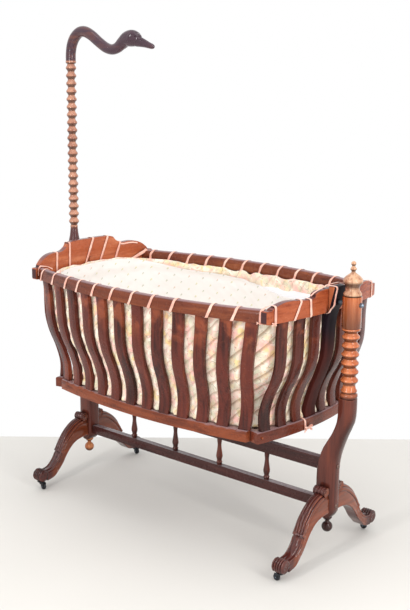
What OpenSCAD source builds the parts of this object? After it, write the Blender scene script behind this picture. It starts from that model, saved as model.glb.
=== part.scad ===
// Swinging cradle on a two-post stand, with a turned canopy pole ending in a carved swan's neck.
// The origin is on the floor under the middle of the stand. X runs along the cradle: the head end, with the
// pole, is at -X and the foot end at +X. Z is up.

/* [Basket] */
// Height of the top edge of the side rails and corner ears
rim_z = 880; // [860:1:900]
// Height of the top of the bottom frame
frame_z = 470; // [460:1:480]
// Half length over the corners of the end panels
panel_half_l = 535; // [530:1:540]
// Half width over the ears of the end panels
panel_half_w = 306; // [300:1:312]
// How far each end panel bows outward
end_bow = 35; // [30:1:38]
// How far the ears stand out past the side rails
ear_reach = 20; // [16:1:24]
// How far each side bows outward
side_bow = 82; // [76:1:86]
// Thickness of the end panels
panel_t = 21; // [18:1:24]
// Thickness of the top side rails, whose top is half round
rail_t = 30; // [28:1:32]
// Height of the top side rails
rail_h = 42; // [38:1:46]
// Width of one slat
slat_w = 40; // [34:1:42]
// Thickness of one slat
slat_t = 15; // [12:1:16]

/* [Stand] */
// Distance of each post's turned top from the middle of the stand
post_x = 640; // [636:1:644]
// Distance of each post's foot from the middle of the stand
foot_x = 575; // [572:1:578]
// Height of the swinging axis
pivot_z = 871; // [868:1:874]
// Radius of the plain drum at the top of each post
drum_r = 31; // [29:0.5:32]
// Thickness of each leg
leg_w = 45; // [40:1:46]

/* [Canopy pole] */
// Number of turned rings on the pole
pole_rings = 21; // [15:1:23]
// Height of the top of the turned pole
pole_top_z = 1618; // [1600:1:1640]
// Radius of the swan's neck
neck_r = 19; // [16:0.5:20]

/* [Casters] */
// Radius of the wheels
wheel_r = 12.2; // [11:0.1:12.4]
// How far each wheel trails behind its swivel
caster_trail = 14; // [10:1:16]

/* [Hidden] */

mahogany = "#5a2a1c";
red_wood = "#8a3a1e";
amber_wood = "#a85a2c";
iron = "#3c4248";
steel = "#8f9aa2";
brass = "#b08d4a";
quilt = "#e6d3b8";
cotton = "#f1e8d4";
pink = "#e9b7a2";

head = -1;
foot = 1;
front = -1;
rear = 1;

// ---------- curves ----------

// Radius of an arc from half its chord and its rise
function arc_radius(half_chord, rise) = (half_chord * half_chord + rise * rise) / (2 * rise);

// A smooth curve through a few chosen points, with 'steps' pieces between each two
function spline_point(a, b, c, d, t) =
    0.5 * (2 * b + (c - a) * t + (2 * a - 5 * b + 4 * c - d) * t * t + (3 * b - a - 3 * c + d) * t * t * t);
function smooth(points, steps = 4) =
    let (n = len(points))
    concat(
        [for (i = [0:n - 2]) for (s = [0:steps - 1])
            spline_point(points[max(i - 1, 0)], points[i], points[i + 1], points[min(i + 2, n - 1)], s / steps)],
        [points[n - 1]]
    );
function reversed(list) = [for (i = [len(list) - 1:-1:0]) list[i]];

// A closed solid through rings that have the same number of points, with flat fans on its two ends
module loft(rings) {
    n = len(rings[0]);
    m = len(rings);
    middle = [for (r = [rings[0], rings[m - 1]]) [for (k = [0:2]) let (v = [for (p = r) p[k]]) v * [for (p = r) 1 / n]]];
    points = concat([for (r = rings) for (p = r) p], middle);
    sides = [for (j = [0:m - 2]) for (i = [0:n - 1]) let (a = j * n + i, b = j * n + (i + 1) % n)
        each [[a, b, b + n], [a, b + n, a + n]]];
    caps = [for (i = [0:n - 1]) each [
        [m * n, (i + 1) % n, i],
        [m * n + 1, (m - 1) * n + i, (m - 1) * n + (i + 1) % n]]];
    polyhedron(points = points, faces = [for (f = concat(sides, caps)) reversed(f)], convexity = 8);
}

// A closed ring-shaped solid: the last ring joins the first
module closed_loft(rings) {
    n = len(rings[0]);
    m = len(rings);
    polyhedron(
        points = [for (r = rings) for (p = r) p],
        faces = [for (j = [0:m - 1]) for (i = [0:n - 1])
            let (a = j * n + i, b = j * n + (i + 1) % n, c = ((j + 1) % m) * n + (i + 1) % n, d = ((j + 1) % m) * n + i)
            each [[a, c, b], [a, d, c]]],
        convexity = 10);
}

// ---------- the basket's bowed outline ----------

side_face = panel_half_w - ear_reach;   // outer face of a side rail at its ends
side_radius = arc_radius(panel_half_l, side_bow);
end_radius = arc_radius(panel_half_w, end_bow);
end_centre = panel_half_l + end_bow - end_radius;
rail_bottom_z = rim_z - rail_h;
slat_h = rail_bottom_z - frame_z;

frame_half_l = 474;    // outer face of the bottom end rails at their ends
frame_half_w = 258;    // half length of the bottom end rails
frame_side_face = 255; // outer face of the bottom side rails at their ends
frame_end_bow = 30;
frame_side_bow = 57;
frame_rail_w = 38;
frame_rail_h = 36;
frame_chord = 484;

// Outer face of a top side rail, and of an end panel
function side_y(x) = side_face + side_bow - side_radius + sqrt(side_radius * side_radius - x * x);
function end_x(y) = end_centre + sqrt(end_radius * end_radius - y * y);

// A section swept along an arc that bows toward -Y. The section's x is 0 on the outer face, negative inward
module bowed(half_chord, bow, face) {
    radius = arc_radius(half_chord, bow);
    half_angle = asin(half_chord / radius);
    translate([0, radius - bow - face, 0]) rotate([0, 0, -90 - half_angle])
        rotate_extrude(angle = 2 * half_angle, $fn = 180) translate([radius, 0]) children();
}

// Turns a piece modelled at the -Y side to the foot end or the head end, or to the rear
module to_end(end) rotate([0, 0, 90 * end]) children();
module to_side(side) rotate([0, 0, side == front ? 0 : 180]) children();

// Everything between the inner faces of the two end panels
module between_panels() {
    for (end = [head, foot]) if (end == head) intersection() {
        translate([-end_centre, 0, 0]) cylinder(r = end_radius - panel_t, h = 1200, $fn = 180);
        translate([end_centre, 0, 0]) cylinder(r = end_radius - panel_t, h = 1200, $fn = 180);
    }
}

// Half of each panel's top edge, from the middle to the ear, as distance from the middle and height
foot_crest = [[0, 915], [40, 915], [75, 913], [93, 907]];
foot_wave = [[98, 895], [125, 893], [165, 897], [205, 901], [236, 899], [262, 892], [282, 884]];
head_crest = [[0, 953], [60, 953], [100, 951], [118, 946]];
head_wave = [[128, 934], [146, 924], [170, 920], [205, 922], [236, 917], [262, 905], [282, 888]];
ear_inner = 284;
ear_round = 8;

// An end panel's outline, seen along the cradle
module panel_outline(crest, wave) {
    half = concat(
        smooth(crest), smooth(wave),
        [[ear_inner, rim_z], [panel_half_w - 3, rim_z], [panel_half_w, rim_z - 3]],
        [for (a = [0:15:90]) [panel_half_w - ear_round + ear_round * cos(a), rail_bottom_z + ear_round - ear_round * sin(a)]],
        [[ear_inner - 4, rail_bottom_z]]
    );
    polygon(concat([for (p = half) p], [for (p = reversed(half)) [-p[0], p[1]]]));
}

module end_panel(end, crest, wave) {
    mirror([end == foot ? 0 : 1, 0, 0]) difference() {
        intersection() {
            rotate([90, 0, 90]) linear_extrude(height = 700) panel_outline(crest, wave);
            translate([end_centre, 0, 0]) cylinder(r = end_radius, h = 1200, $fn = 180);
        }
        translate([end_centre, 0, -1]) cylinder(r = end_radius - panel_t, h = 1300, $fn = 180);
        translate([0, 0, pivot_z]) rotate([0, 90, 0]) cylinder(r = bolt_r, h = 800, $fn = 48);
    }
}

module head_panel() color(red_wood) end_panel(head, head_crest, head_wave);
module foot_panel() color(red_wood) end_panel(foot, foot_crest, foot_wave);

module top_rail(side) {
    intersection() {
        to_side(side) bowed(panel_half_l, side_bow, side_face) union() {
            translate([-rail_t, rail_bottom_z]) square([rail_t, rail_h - rail_t / 2]);
            translate([-rail_t / 2, rim_z - rail_t / 2]) circle(d = rail_t, $fn = 48);
        }
        between_panels();
    }
}

module front_top_rail() color(mahogany) top_rail(front);
module back_top_rail() color(mahogany) top_rail(rear);

frame_radius = arc_radius(frame_half_w, frame_end_bow);
frame_centre = frame_half_l + frame_end_bow - frame_radius;

// A rail of the bottom frame: its top outer edge is rounded
module frame_section() {
    round_r = 8;
    translate([-frame_rail_w, frame_z - frame_rail_h]) union() {
        square([frame_rail_w, frame_rail_h - round_r]);
        square([frame_rail_w - round_r, frame_rail_h]);
        translate([frame_rail_w - round_r, frame_rail_h - round_r]) circle(r = round_r, $fn = 48);
    }
}

module bottom_end_rail(end) {
    difference() {
        to_end(end) bowed(frame_half_w, frame_end_bow, frame_half_l) frame_section();
        at_pegs(end) cylinder(r = peg_r, h = 40, $fn = 24);
    }
}

module inside_frame_ends(h) {
    intersection() {
        translate([-frame_centre, 0, 0]) cylinder(r = frame_radius - frame_rail_w, h = h, $fn = 180);
        translate([frame_centre, 0, 0]) cylinder(r = frame_radius - frame_rail_w, h = h, $fn = 180);
    }
}

module bottom_side_rail(side) {
    intersection() {
        to_side(side) bowed(frame_chord, frame_side_bow, frame_side_face) frame_section();
        inside_frame_ends(700);
    }
}

module head_bottom_rail() color(mahogany) bottom_end_rail(head);
module foot_bottom_rail() color(mahogany) bottom_end_rail(foot);
module front_bottom_rail() color(mahogany) bottom_side_rail(front);
module back_bottom_rail() color(mahogany) bottom_side_rail(rear);

frame_side_radius = arc_radius(frame_chord, frame_side_bow);
frame_side_centre = frame_side_radius - frame_side_bow - frame_side_face;
board_t = 12;
board_count = 8;
board_gap = 2;
cleat_w = 16;
cleat_h = 12;

// The space inside the bottom frame, drawn in from the rails by 'inset'
module inside_frame(inset, h) {
    intersection() {
        inside_frame_ends(h);
        for (side = [1]) translate([0, side * frame_side_centre, 0])
            cylinder(r = frame_side_radius - frame_rail_w - inset, h = h, $fn = 180);
        translate([0, -frame_side_centre, 0])
            cylinder(r = frame_side_radius - frame_rail_w - inset, h = h, $fn = 180);
    }
}

// Loose cross boards that carry the bedding, flush with the top of the frame
module bottom_boards() color(mahogany) {
    span = 2 * (frame_half_l + frame_end_bow - frame_rail_w) - 12;
    pitch = span / board_count;
    for (i = [0:board_count - 1]) intersection() {
        translate([(i - (board_count - 1) / 2) * pitch - (pitch - board_gap) / 2, -400, frame_z - board_t])
            cube([pitch - board_gap, 800, board_t]);
        inside_frame(1, 700);
        translate([-430, -400, 0]) cube([860, 800, 700]);
    }
}

// Two ledges inside the side rails, which the boards lie on
module bottom_cleats() color(mahogany) {
    for (side = [front, rear]) difference() {
        intersection() {
            translate([-400, side == front ? -400 : 0, frame_z - board_t - cleat_h]) cube([800, 400, cleat_h]);
            inside_frame(0, 700);
        }
        inside_frame(cleat_w, 700);
    }
}

peg_r = 4;
peg_inset = 18;
peg_depth = 22;

// Where the pegs stand: near both corners of an end rail, driven in from outside
module at_pegs(end) {
    for (side = [front, rear])
        translate([end * (frame_half_l - peg_depth), side * (frame_half_w - peg_inset), frame_z - frame_rail_h / 2])
            rotate([0, 90 * end, 0]) children();
}

// Light pegs that pin the corners of the bottom frame and stand a little proud
module corner_pegs() color(amber_wood) {
    for (end = [head, foot]) at_pegs(end) cylinder(r = peg_r, h = peg_depth + 7, $fn = 24);
}

// ---------- slats ----------

// How much of its inward sweep a slat has made at a share of its height, counted down from the rail
ogee = smooth([[1.04, 0], [1, 0], [0.87, 0.05], [0.72, 0.06], [0.6, 0.11], [0.46, 0.33],
    [0.33, 0.68], [0.2, 0.93], [0.11, 1], [0, 0.95], [-0.04, 0.93]], 3);
side_sweep = 55;
end_sweep = 74;
side_setback = 6;
end_setback = 4;

module slat_band(sweep, thickness) {
    outer = [for (p = ogee) [sweep * p[1], frame_z + slat_h * p[0]]];
    polygon(concat(outer, [for (p = reversed(outer)) p + [thickness, 0]]));
}

module slat_slab() translate([-700, -700, frame_z]) cube([1400, 1400, slat_h]);

// One slat on the -Y side: it stands at 'at' along the rail, turns with the bow and leans toward the middle
module leaning_slat(at, face_y, turn, lean, sweep) {
    intersection() {
        translate([at, -face_y, rail_bottom_z]) rotate([0, lean, turn]) translate([0, 0, -rail_bottom_z])
            rotate([90, 0, 90]) linear_extrude(height = slat_w, center = true) slat_band(sweep, slat_t);
        slat_slab();
    }
}

slats_per_side = 12;
side_slat_reach = 472;
side_turn_share = 0.029;   // degrees of turn for each millimetre from the middle
side_lean_share = 0.0143;
slat_pitch = 2 * side_slat_reach / (slats_per_side - 1);
function side_slat_x(k) = -side_slat_reach + k * slat_pitch;

module side_slats(side) {
    to_side(side) for (k = [0:slats_per_side - 1]) let (x = side_slat_x(k))
        leaning_slat(x, side_y(x) - side_setback, side_turn_share * x, side_lean_share * x, side_sweep);
}

end_slat_pitch = 77;
end_turn_share = 0.042;

module end_slats(end) {
    to_end(end) for (k = [-3:3]) if (k != 0) let (y = k * end_slat_pitch)
        leaning_slat(y, end_x(y) - end_setback, end_turn_share * y, 0, end_sweep);
}

module front_slats() color(mahogany) side_slats(front);
module back_slats() color(mahogany) side_slats(rear);
module head_slats() color(mahogany) end_slats(head);
module foot_slats() color(mahogany) end_slats(foot);

// ---------- hangers and pivots ----------

hanger_w = 56;
hanger_out = 592;      // outer face of a hanger beside its panel
hanger_top_z = 922;
hanger_t = 17;
bolt_r = 4;
bush_r = 6;
bolt_clearance = 0.05;
collar_r = 7;
nut_r = 6.5;
washer_r = 8;
washer_t = 1.5;
bolt_head_r = 11;
bolt_out = post_x + drum_r + washer_t + 8;

// The strong middle slat of an end: it laps over the outside of the panel and carries the pivot bolt
module hanger(end) {
    curved = smooth([[hanger_out, pivot_z - 8], [581, 850], [575, rail_bottom_z], [568, 815], [564, 780], [562, 740],
        [557, 690], [540, 632], [516, 575], [499, 520], [494, 495], [496, frame_z]], 3);
    outer = concat([[hanger_out + 3, hanger_top_z], [hanger_out + 5, hanger_top_z - 4], [hanger_out + 3, 905],
        [hanger_out, pivot_z + 8]], curved);
    inner = concat([[562 - hanger_t, rail_bottom_z]],
        [for (p = curved) if (p[1] < 765) [p[0] - hanger_t, p[1]]]);
    mirror([end == foot ? 0 : 1, 0, 0]) difference() {
        rotate([90, 0, 0]) linear_extrude(height = hanger_w, center = true)
            polygon(concat(outer, reversed(inner), [[530, rail_bottom_z], [530, hanger_top_z]]));
        translate([end_centre, 0, rail_bottom_z]) cylinder(r = end_radius, h = 200, $fn = 180);
        translate([0, 0, pivot_z]) rotate([0, 90, 0]) cylinder(r = bolt_r, h = 800, $fn = 48);
    }
}

module head_hanger() color(mahogany) hanger(head);
module foot_hanger() color(mahogany) hanger(foot);

// A bolt from inside the panel through the hanger and the post, with the collar that locks it to the hanger
module pivot_bolts() color(steel) {
    inside = panel_half_l + end_bow - panel_t;
    for (end = [head, foot]) mirror([end == foot ? 0 : 1, 0, 0]) translate([0, 0, pivot_z]) rotate([0, 90, 0]) {
        translate([0, 0, inside - 3]) cylinder(r = bolt_r, h = bolt_out - inside + 3, $fn = 48);
        translate([0, 0, inside - 4]) cylinder(r = bolt_head_r, h = 3.8, $fn = 48);
        translate([0, 0, hanger_out]) cylinder(r = collar_r, h = 8, $fn = 48);
    }
}

module pivot_nuts() color(steel) {
    for (end = [head, foot]) mirror([end == foot ? 0 : 1, 0, 0]) translate([0, 0, pivot_z]) rotate([0, 90, 0])
        translate([0, 0, post_x + drum_r + washer_t]) difference() {
            union() {
                cylinder(r = nut_r, h = 6, $fn = 48);
                translate([0, 0, 6]) cylinder(r1 = nut_r, r2 = nut_r - 3, h = 3, $fn = 48);
            }
            translate([0, 0, -1]) cylinder(r = bolt_r, h = 9, $fn = 48);
        }
}

// Spacers between collar and post, and washers under the nuts. All turn with the bolts
module pivot_washers() color(steel) {
    spacer = post_x - drum_r - hanger_out - 8;
    for (end = [head, foot]) mirror([end == foot ? 0 : 1, 0, 0]) translate([0, 0, pivot_z]) rotate([0, 90, 0]) {
        for (w = [[hanger_out + 8, spacer - 0.3], [post_x + drum_r + 0.3, washer_t - 0.3]])
            translate([0, 0, w[0]]) difference() {
                cylinder(r = washer_r, h = w[1], $fn = 48);
                translate([0, 0, -1]) cylinder(r = bolt_r, h = w[1] + 2, $fn = 48);
            }
    }
}

module pivot_bushes() color(brass) {
    for (end = [head, foot]) translate([end * post_x, 0, pivot_z]) rotate([0, 90, 0]) difference() {
        cylinder(r = bush_r, h = 2 * drum_r, center = true, $fn = 48);
        cylinder(r = bolt_r + bolt_clearance, h = 2 * drum_r + 2, center = true, $fn = 48);
    }
}

// ---------- stand ----------

post_half_y = 25.5;
drum_bottom_z = 787;
drum_top_z = 896;
bead_pitch = 28.5;
bead_first_z = 622;
beads = 6;
bead_r = 28.5;
bead_neck_r = 20;
collar_z = 562;

// Turned half profile of a row of rings from height z0 up, as [radius, height]
function ring_row(z0, count, pitch, neck, crest) =
    [for (i = [0:count - 1]) each [
        [neck, z0 + i * pitch - pitch * 0.5],
        [neck + (crest - neck) * 0.35, z0 + i * pitch - pitch * 0.3],
        [crest - 1, z0 + i * pitch - pitch * 0.14],
        [crest, z0 + i * pitch],
        [crest - 1, z0 + i * pitch + pitch * 0.14],
        [neck + (crest - neck) * 0.35, z0 + i * pitch + pitch * 0.3]]];

module turned(profile) rotate_extrude($fn = 72) polygon(profile);

module post_turning() {
    bottom = collar_z - 6;
    profile = concat(
        [[0, bottom], [20, bottom], [20, collar_z + 1], [27, collar_z + 2], [29, collar_z + 9], [28, collar_z + 15],
            [23, collar_z + 18], [23, collar_z + 20], [26, collar_z + 23], [26, collar_z + 28], [23, collar_z + 31],
            [bead_neck_r + 1, collar_z + 38]],
        ring_row(bead_first_z, beads, bead_pitch, bead_neck_r, bead_r),
        [[bead_neck_r, bead_first_z + (beads - 0.5) * bead_pitch], [24, drum_bottom_z - 4], [28, drum_bottom_z - 2],
            [30, drum_bottom_z + 2], [28, drum_bottom_z + 6], [drum_r, drum_bottom_z + 9], [drum_r, drum_top_z],
            [0, drum_top_z]]
    );
    turned(profile);
}

// Heights of the swept lower post, with its inner and outer faces
post_levels = smooth([[140, 558, 592], [152, 548, 602], [175, 542, 608], [240, 541, 608], [307, 542, 608],
    [345, 550, 612], [384, 564, 622], [435, 594, 641], [480, 612, 660], [520, 615, 665], [562, 615, 665]], 2);

// A rounded section at one height: nearly square inside the stand, well rounded outside
function post_ring(z, x0, x1) =
    let (w = x1 - x0, rin = 6, rout = min(17, w / 2))
    concat(
        [for (a = [-90:30:0]) [x1 - rout + rout * cos(a), -post_half_y + rout + rout * sin(a), z]],
        [for (a = [0:30:90]) [x1 - rout + rout * cos(a), post_half_y - rout + rout * sin(a), z]],
        [for (a = [90:45:180]) [x0 + rin + rin * cos(a), post_half_y - rin + rin * sin(a), z]],
        [for (a = [180:45:270]) [x0 + rin + rin * cos(a), -post_half_y + rin + rin * sin(a), z]]
    );

stretcher_w = 24;
stretcher_end = 556;
upper_z = [300, 341];
lower_z = [166, 200];
stretcher_bolt_r = 4;
pendant_dowel_r = 5;
socket_depth = 16;
finial_tenon_r = 9;
pole_tenon_r = 13;
tenon_clearance = 0.05;

module post_at_foot(tenon_r) {
    difference() {
        union() {
            translate([post_x, 0, 0]) post_turning();
            loft([for (l = post_levels) post_ring(l[0], l[1], l[2])]);
        }
        for (z = [upper_z, lower_z]) {
            translate([0, -stretcher_w / 2, z[0]]) cube([stretcher_end, stretcher_w, z[1] - z[0]]);
            translate([0, 0, (z[0] + z[1]) / 2]) rotate([0, 90, 0]) cylinder(r = stretcher_bolt_r, h = 700, $fn = 48);
        }
        translate([post_x, 0, pivot_z]) rotate([0, 90, 0]) cylinder(r = bush_r, h = 100, center = true, $fn = 48);
        translate([post_x, 0, drum_top_z - socket_depth]) cylinder(r = tenon_r, h = 40, $fn = 72);
        translate([foot_x, 0, 100]) cylinder(r = pendant_dowel_r, h = 60, $fn = 48);
    }
}

module foot_post() color(mahogany) post_at_foot(finial_tenon_r);
module head_post() color(mahogany) mirror([1, 0, 0]) post_at_foot(pole_tenon_r + tenon_clearance);

module post_finial() color(amber_wood) translate([post_x, 0, 0]) turned(concat(
    [[0, drum_top_z - socket_depth + 1], [finial_tenon_r, drum_top_z - socket_depth + 1],
        [finial_tenon_r, drum_top_z], [27, drum_top_z], [29, drum_top_z + 4], [29, drum_top_z + 9],
        [26, drum_top_z + 14], [23, drum_top_z + 18], [21, drum_top_z + 24], [22, drum_top_z + 31],
        [26, drum_top_z + 38], [31, drum_top_z + 43], [32, drum_top_z + 50], [30, drum_top_z + 56],
        [24, drum_top_z + 63], [15, drum_top_z + 70], [9, drum_top_z + 74], [6, drum_top_z + 78],
        [7, drum_top_z + 82], [10, drum_top_z + 85], [10, drum_top_z + 89], [7, drum_top_z + 92],
        [5, drum_top_z + 96]],
    [for (a = [-45:15:90]) [8 * cos(a), drum_top_z + 104 + 8 * sin(a)]]));

module pendant(end) translate([end * foot_x, 0, 0]) turned(concat(
    [[0, 83]], [for (a = [-75:15:60]) [18.5 * cos(a), 101.5 + 18.5 * sin(a)]],
    [[7, 121], [7, 125], [12, 128], [16, 134], [16, 140], [pendant_dowel_r, 140], [pendant_dowel_r, 159], [0, 159]]));

module head_post_pendant() color(amber_wood) pendant(head);
module foot_post_pendant() color(mahogany) pendant(foot);

module stretcher(z) {
    difference() {
        translate([-stretcher_end, -stretcher_w / 2, z[0]]) cube([2 * stretcher_end, stretcher_w, z[1] - z[0]]);
        for (end = [head, foot]) translate([end * stretcher_end, 0, (z[0] + z[1]) / 2]) rotate([0, 90, 0])
            cylinder(r = stretcher_bolt_r, h = 80, center = true, $fn = 48);
        children();
    }
}

spindle_pitch = 213;
spindle_tenon_r = 6;
spindle_xs = [for (k = [0:3]) (k - 1.5) * spindle_pitch];

module spindle_holes(z) for (x = spindle_xs) translate([x, 0, z]) cylinder(r = spindle_tenon_r, h = 16, center = true, $fn = 48);

module upper_stretcher() color(mahogany) stretcher(upper_z) spindle_holes(upper_z[0]);
module lower_stretcher() color(mahogany) stretcher(lower_z) spindle_holes(lower_z[1]);

// Four slim balusters between the stretchers
module stretcher_spindles() color(mahogany) {
    low = lower_z[1];
    high = upper_z[0];
    body = smooth([[9, low + 3], [11, low + 10], [8.5, low + 15], [10.5, low + 24], [12, low + 34], [9, low + 54],
        [7, low + 74], [8.5, low + 88]], 2);
    for (x = spindle_xs) translate([x, 0, 0]) turned(concat(
        [[0, low - 8], [spindle_tenon_r, low - 8], [spindle_tenon_r, low], [9, low]], body,
        [[9, high], [spindle_tenon_r, high], [spindle_tenon_r, high + 8], [0, high + 8]]));
}

// Bolts through the posts into the ends of the stretchers, with small domed heads
module stretcher_bolts() color(steel) {
    outer = 608;
    for (end = [head, foot]) for (z = [upper_z, lower_z])
        translate([end * (outer - 90), 0, (z[0] + z[1]) / 2]) rotate([0, 90 * end, 0]) {
            cylinder(r = stretcher_bolt_r, h = 90, $fn = 48);
            translate([0, 0, 88]) cylinder(r = stretcher_bolt_r, h = 5, $fn = 48);
            translate([0, 0, z == upper_z ? 92.2 : 90.6]) cylinder(r1 = 7, r2 = 4.2, h = 4, $fn = 48);
        }
}

// ---------- legs and casters ----------

foot_y = 258;          // the casters' swivels, either side of the middle
scroll_z = 54;
scroll_r = 24;
leg_flat_z = 31;
volute_y = 42;
volute_z = 237;
volute_r = 14;
leg_back = smooth([[50, 240], [84, 229], [118, 206], [142, 176], [156, 146], [166, 124]]);
leg_shin = smooth([[166, 124], [176, 104], [190, 87], [212, 70], [236, 66]]);
leg_under = smooth([[236, 31], [206, 39], [184, 58], [162, 80], [141, 109], [117, 135], [90, 152], [58, 159],
    [post_half_y, 160]]);
leg_step = 5;
reed_w = 11;
reed_pitch = 15;
ridge_w = 18;

// The outline of a leg seen along the cradle, as distance from the middle and height
module leg_outline() {
    polygon(concat([[post_half_y, 240]], leg_back, leg_shin, leg_under));
    translate([foot_y, scroll_z]) circle(r = scroll_r, $fn = 72);
    translate([foot_y - plate_r, leg_flat_z]) square([2 * plate_r, 10]);
    translate([volute_y, volute_z]) circle(r = volute_r, $fn = 48);
}

// A strip that stands proud of a curve by 'lift'
module proud_strip(curve, lift) {
    n = len(curve);
    normals = [for (i = [0:n - 1]) let (d = curve[min(i + 1, n - 1)] - curve[max(i - 1, 0)]) [-d[1], d[0]] / norm(d)];
    polygon(concat([for (i = [0:n - 1]) curve[i] - normals[i] * -lift], [for (i = [n - 1:-1:0]) curve[i] - normals[i] * 6]));
}

module leg_strip(width, offset_x, curve, lift)
    rotate([90, 0, 90]) translate([0, 0, offset_x - width / 2]) linear_extrude(height = width) proud_strip(curve, lift);

// One leg toward +Y, with its width centred on x = 0
module leg() {
    difference() {
        union() {
            rotate([90, 0, 90]) translate([0, 0, -leg_w / 2]) linear_extrude(height = leg_w) leg_outline();
            for (k = [-1:1]) leg_strip(reed_w, k * reed_pitch, leg_back, leg_step);
            leg_strip(leg_w, 0, [leg_back[len(leg_back) - 3], leg_back[len(leg_back) - 1]], leg_step - 1);
            leg_strip(ridge_w, 0, leg_shin, 3);
        }
        translate([-100, 20, -1]) cube([200, 400, leg_flat_z + 1]);
        translate([-100, post_half_y - 60, 0]) cube([200, 60, 400]);
        translate([0, foot_y, 0]) cylinder(r = stem_r + 0.3, h = 50, $fn = 48);
    }
}

module placed_leg(end, side) translate([end * foot_x, 0, 0]) mirror([0, side == rear ? 0 : 1, 0]) leg();

module head_front_leg() color(mahogany) placed_leg(head, front);
module head_rear_leg() color(mahogany) placed_leg(head, rear);
module foot_front_leg() color(mahogany) placed_leg(foot, front);
module foot_rear_leg() color(mahogany) placed_leg(foot, rear);

stem_r = 3.5;
plate_t = 2.5;
plate_r = 14;
crown_t = 2;
wheel_w = 11;
cheek_t = 2;
cheek_gap = 0.5;
axle_r = 2;
caster_clearance = 0.05;

module caster_plates() color(iron) {
    for (end = [head, foot]) for (side = [front, rear])
        translate([end * foot_x, side * foot_y, leg_flat_z - plate_t]) difference() {
            cylinder(r = plate_r, h = plate_t, $fn = 48);
            translate([0, 0, -1]) cylinder(r = stem_r + caster_clearance, h = plate_t + 2, $fn = 48);
        }
}

// A fork with its swivel at the origin and its wheel trailing toward -X
module fork() {
    crown_z = leg_flat_z - plate_t - crown_t - 0.2;
    cheek_y = wheel_w / 2 + cheek_gap;
    difference() {
        union() {
            translate([0, 0, crown_z]) cylinder(r = 11, h = crown_t, $fn = 48);
            translate([-caster_trail, -cheek_y - cheek_t, crown_z]) cube([caster_trail, 2 * (cheek_y + cheek_t), crown_t]);
            translate([0, 0, crown_z]) cylinder(r = stem_r, h = 20, $fn = 48);
            for (s = [-1, 1]) translate([-caster_trail, s * (cheek_y + cheek_t / 2), 0]) rotate([90, 0, 0]) {
                translate([0, wheel_r, -cheek_t / 2]) cylinder(r = 5.5, h = cheek_t, $fn = 48);
                translate([-5.5, wheel_r, -cheek_t / 2]) cube([11, crown_z - wheel_r + 0.5, cheek_t]);
                translate([0, crown_z - 7, -cheek_t / 2]) cube([caster_trail, 7.5, cheek_t]);
            }
        }
        translate([-caster_trail, 20, wheel_r]) rotate([90, 0, 0]) cylinder(r = axle_r, h = 40, $fn = 48);
    }
}

module at_caster(end, side) translate([end * foot_x, side * foot_y, 0]) mirror([end == foot ? 0 : 1, 0, 0]) children();

module axle() translate([-caster_trail, 0, wheel_r]) rotate([90, 0, 0])
    cylinder(r = axle_r, h = wheel_w + 2 * (cheek_gap + cheek_t) + 1, center = true, $fn = 48);

module wheel() translate([-caster_trail, 0, wheel_r]) rotate([90, 0, 0]) rotate_extrude($fn = 96) polygon([
    [axle_r + caster_clearance, -wheel_w / 2], [5, -wheel_w / 2], [6, -wheel_w / 2 + 1], [10, -wheel_w / 2 + 1],
    [wheel_r - 1, -wheel_w / 2 + 1.5], [wheel_r, -wheel_w / 2 + 3.5], [wheel_r, wheel_w / 2 - 3.5],
    [wheel_r - 1, wheel_w / 2 - 1.5], [10, wheel_w / 2 - 1], [6, wheel_w / 2 - 1], [5, wheel_w / 2],
    [axle_r + caster_clearance, wheel_w / 2]]);

module head_front_fork() color(iron) at_caster(head, front) fork();
module head_rear_fork() color(iron) at_caster(head, rear) fork();
module foot_front_fork() color(iron) at_caster(foot, front) fork();
module foot_rear_fork() color(iron) at_caster(foot, rear) fork();
module head_front_axle() color(steel) at_caster(head, front) axle();
module head_rear_axle() color(steel) at_caster(head, rear) axle();
module foot_front_axle() color(steel) at_caster(foot, front) axle();
module foot_rear_axle() color(steel) at_caster(foot, rear) axle();
module head_front_wheel() color(iron) at_caster(head, front) wheel();
module head_rear_wheel() color(iron) at_caster(head, rear) wheel();
module foot_front_wheel() color(iron) at_caster(foot, front) wheel();
module foot_rear_wheel() color(iron) at_caster(foot, rear) wheel();

// ---------- canopy pole and swan ----------

pole_ring_r = 20;
pole_neck_r = 12.5;
pole_first_z = 1011;
neck_dowel_r = 7;
neck_dowel_clearance = 0.1;

module canopy_pole() color(amber_wood) translate([-post_x, 0, 0]) {
    pitch = (pole_top_z - 26 - pole_first_z) / (pole_rings - 1);
    base = drum_top_z;
    difference() {
        turned(concat(
            [[0, base - socket_depth + 0.5], [pole_tenon_r, base - socket_depth + 0.5], [pole_tenon_r, base + 0.3],
                [27, base + 0.3], [29, base + 4], [29, base + 9], [26, base + 14], [23.5, base + 20], [23, base + 30],
                [21.4, base + 40], [18, base + 56], [15.5, base + 74], [14, base + 90], [15, base + 96]],
            ring_row(pole_first_z, pole_rings, pitch, pole_neck_r, pole_ring_r),
            [[14, pole_top_z - 12], [19, pole_top_z - 9], [20, pole_top_z - 5], [19.5, pole_top_z], [0, pole_top_z]]));
        translate([0, 0, pole_top_z - 30]) cylinder(r = neck_dowel_r + neck_dowel_clearance, h = 40, $fn = 48);
    }
}

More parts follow.
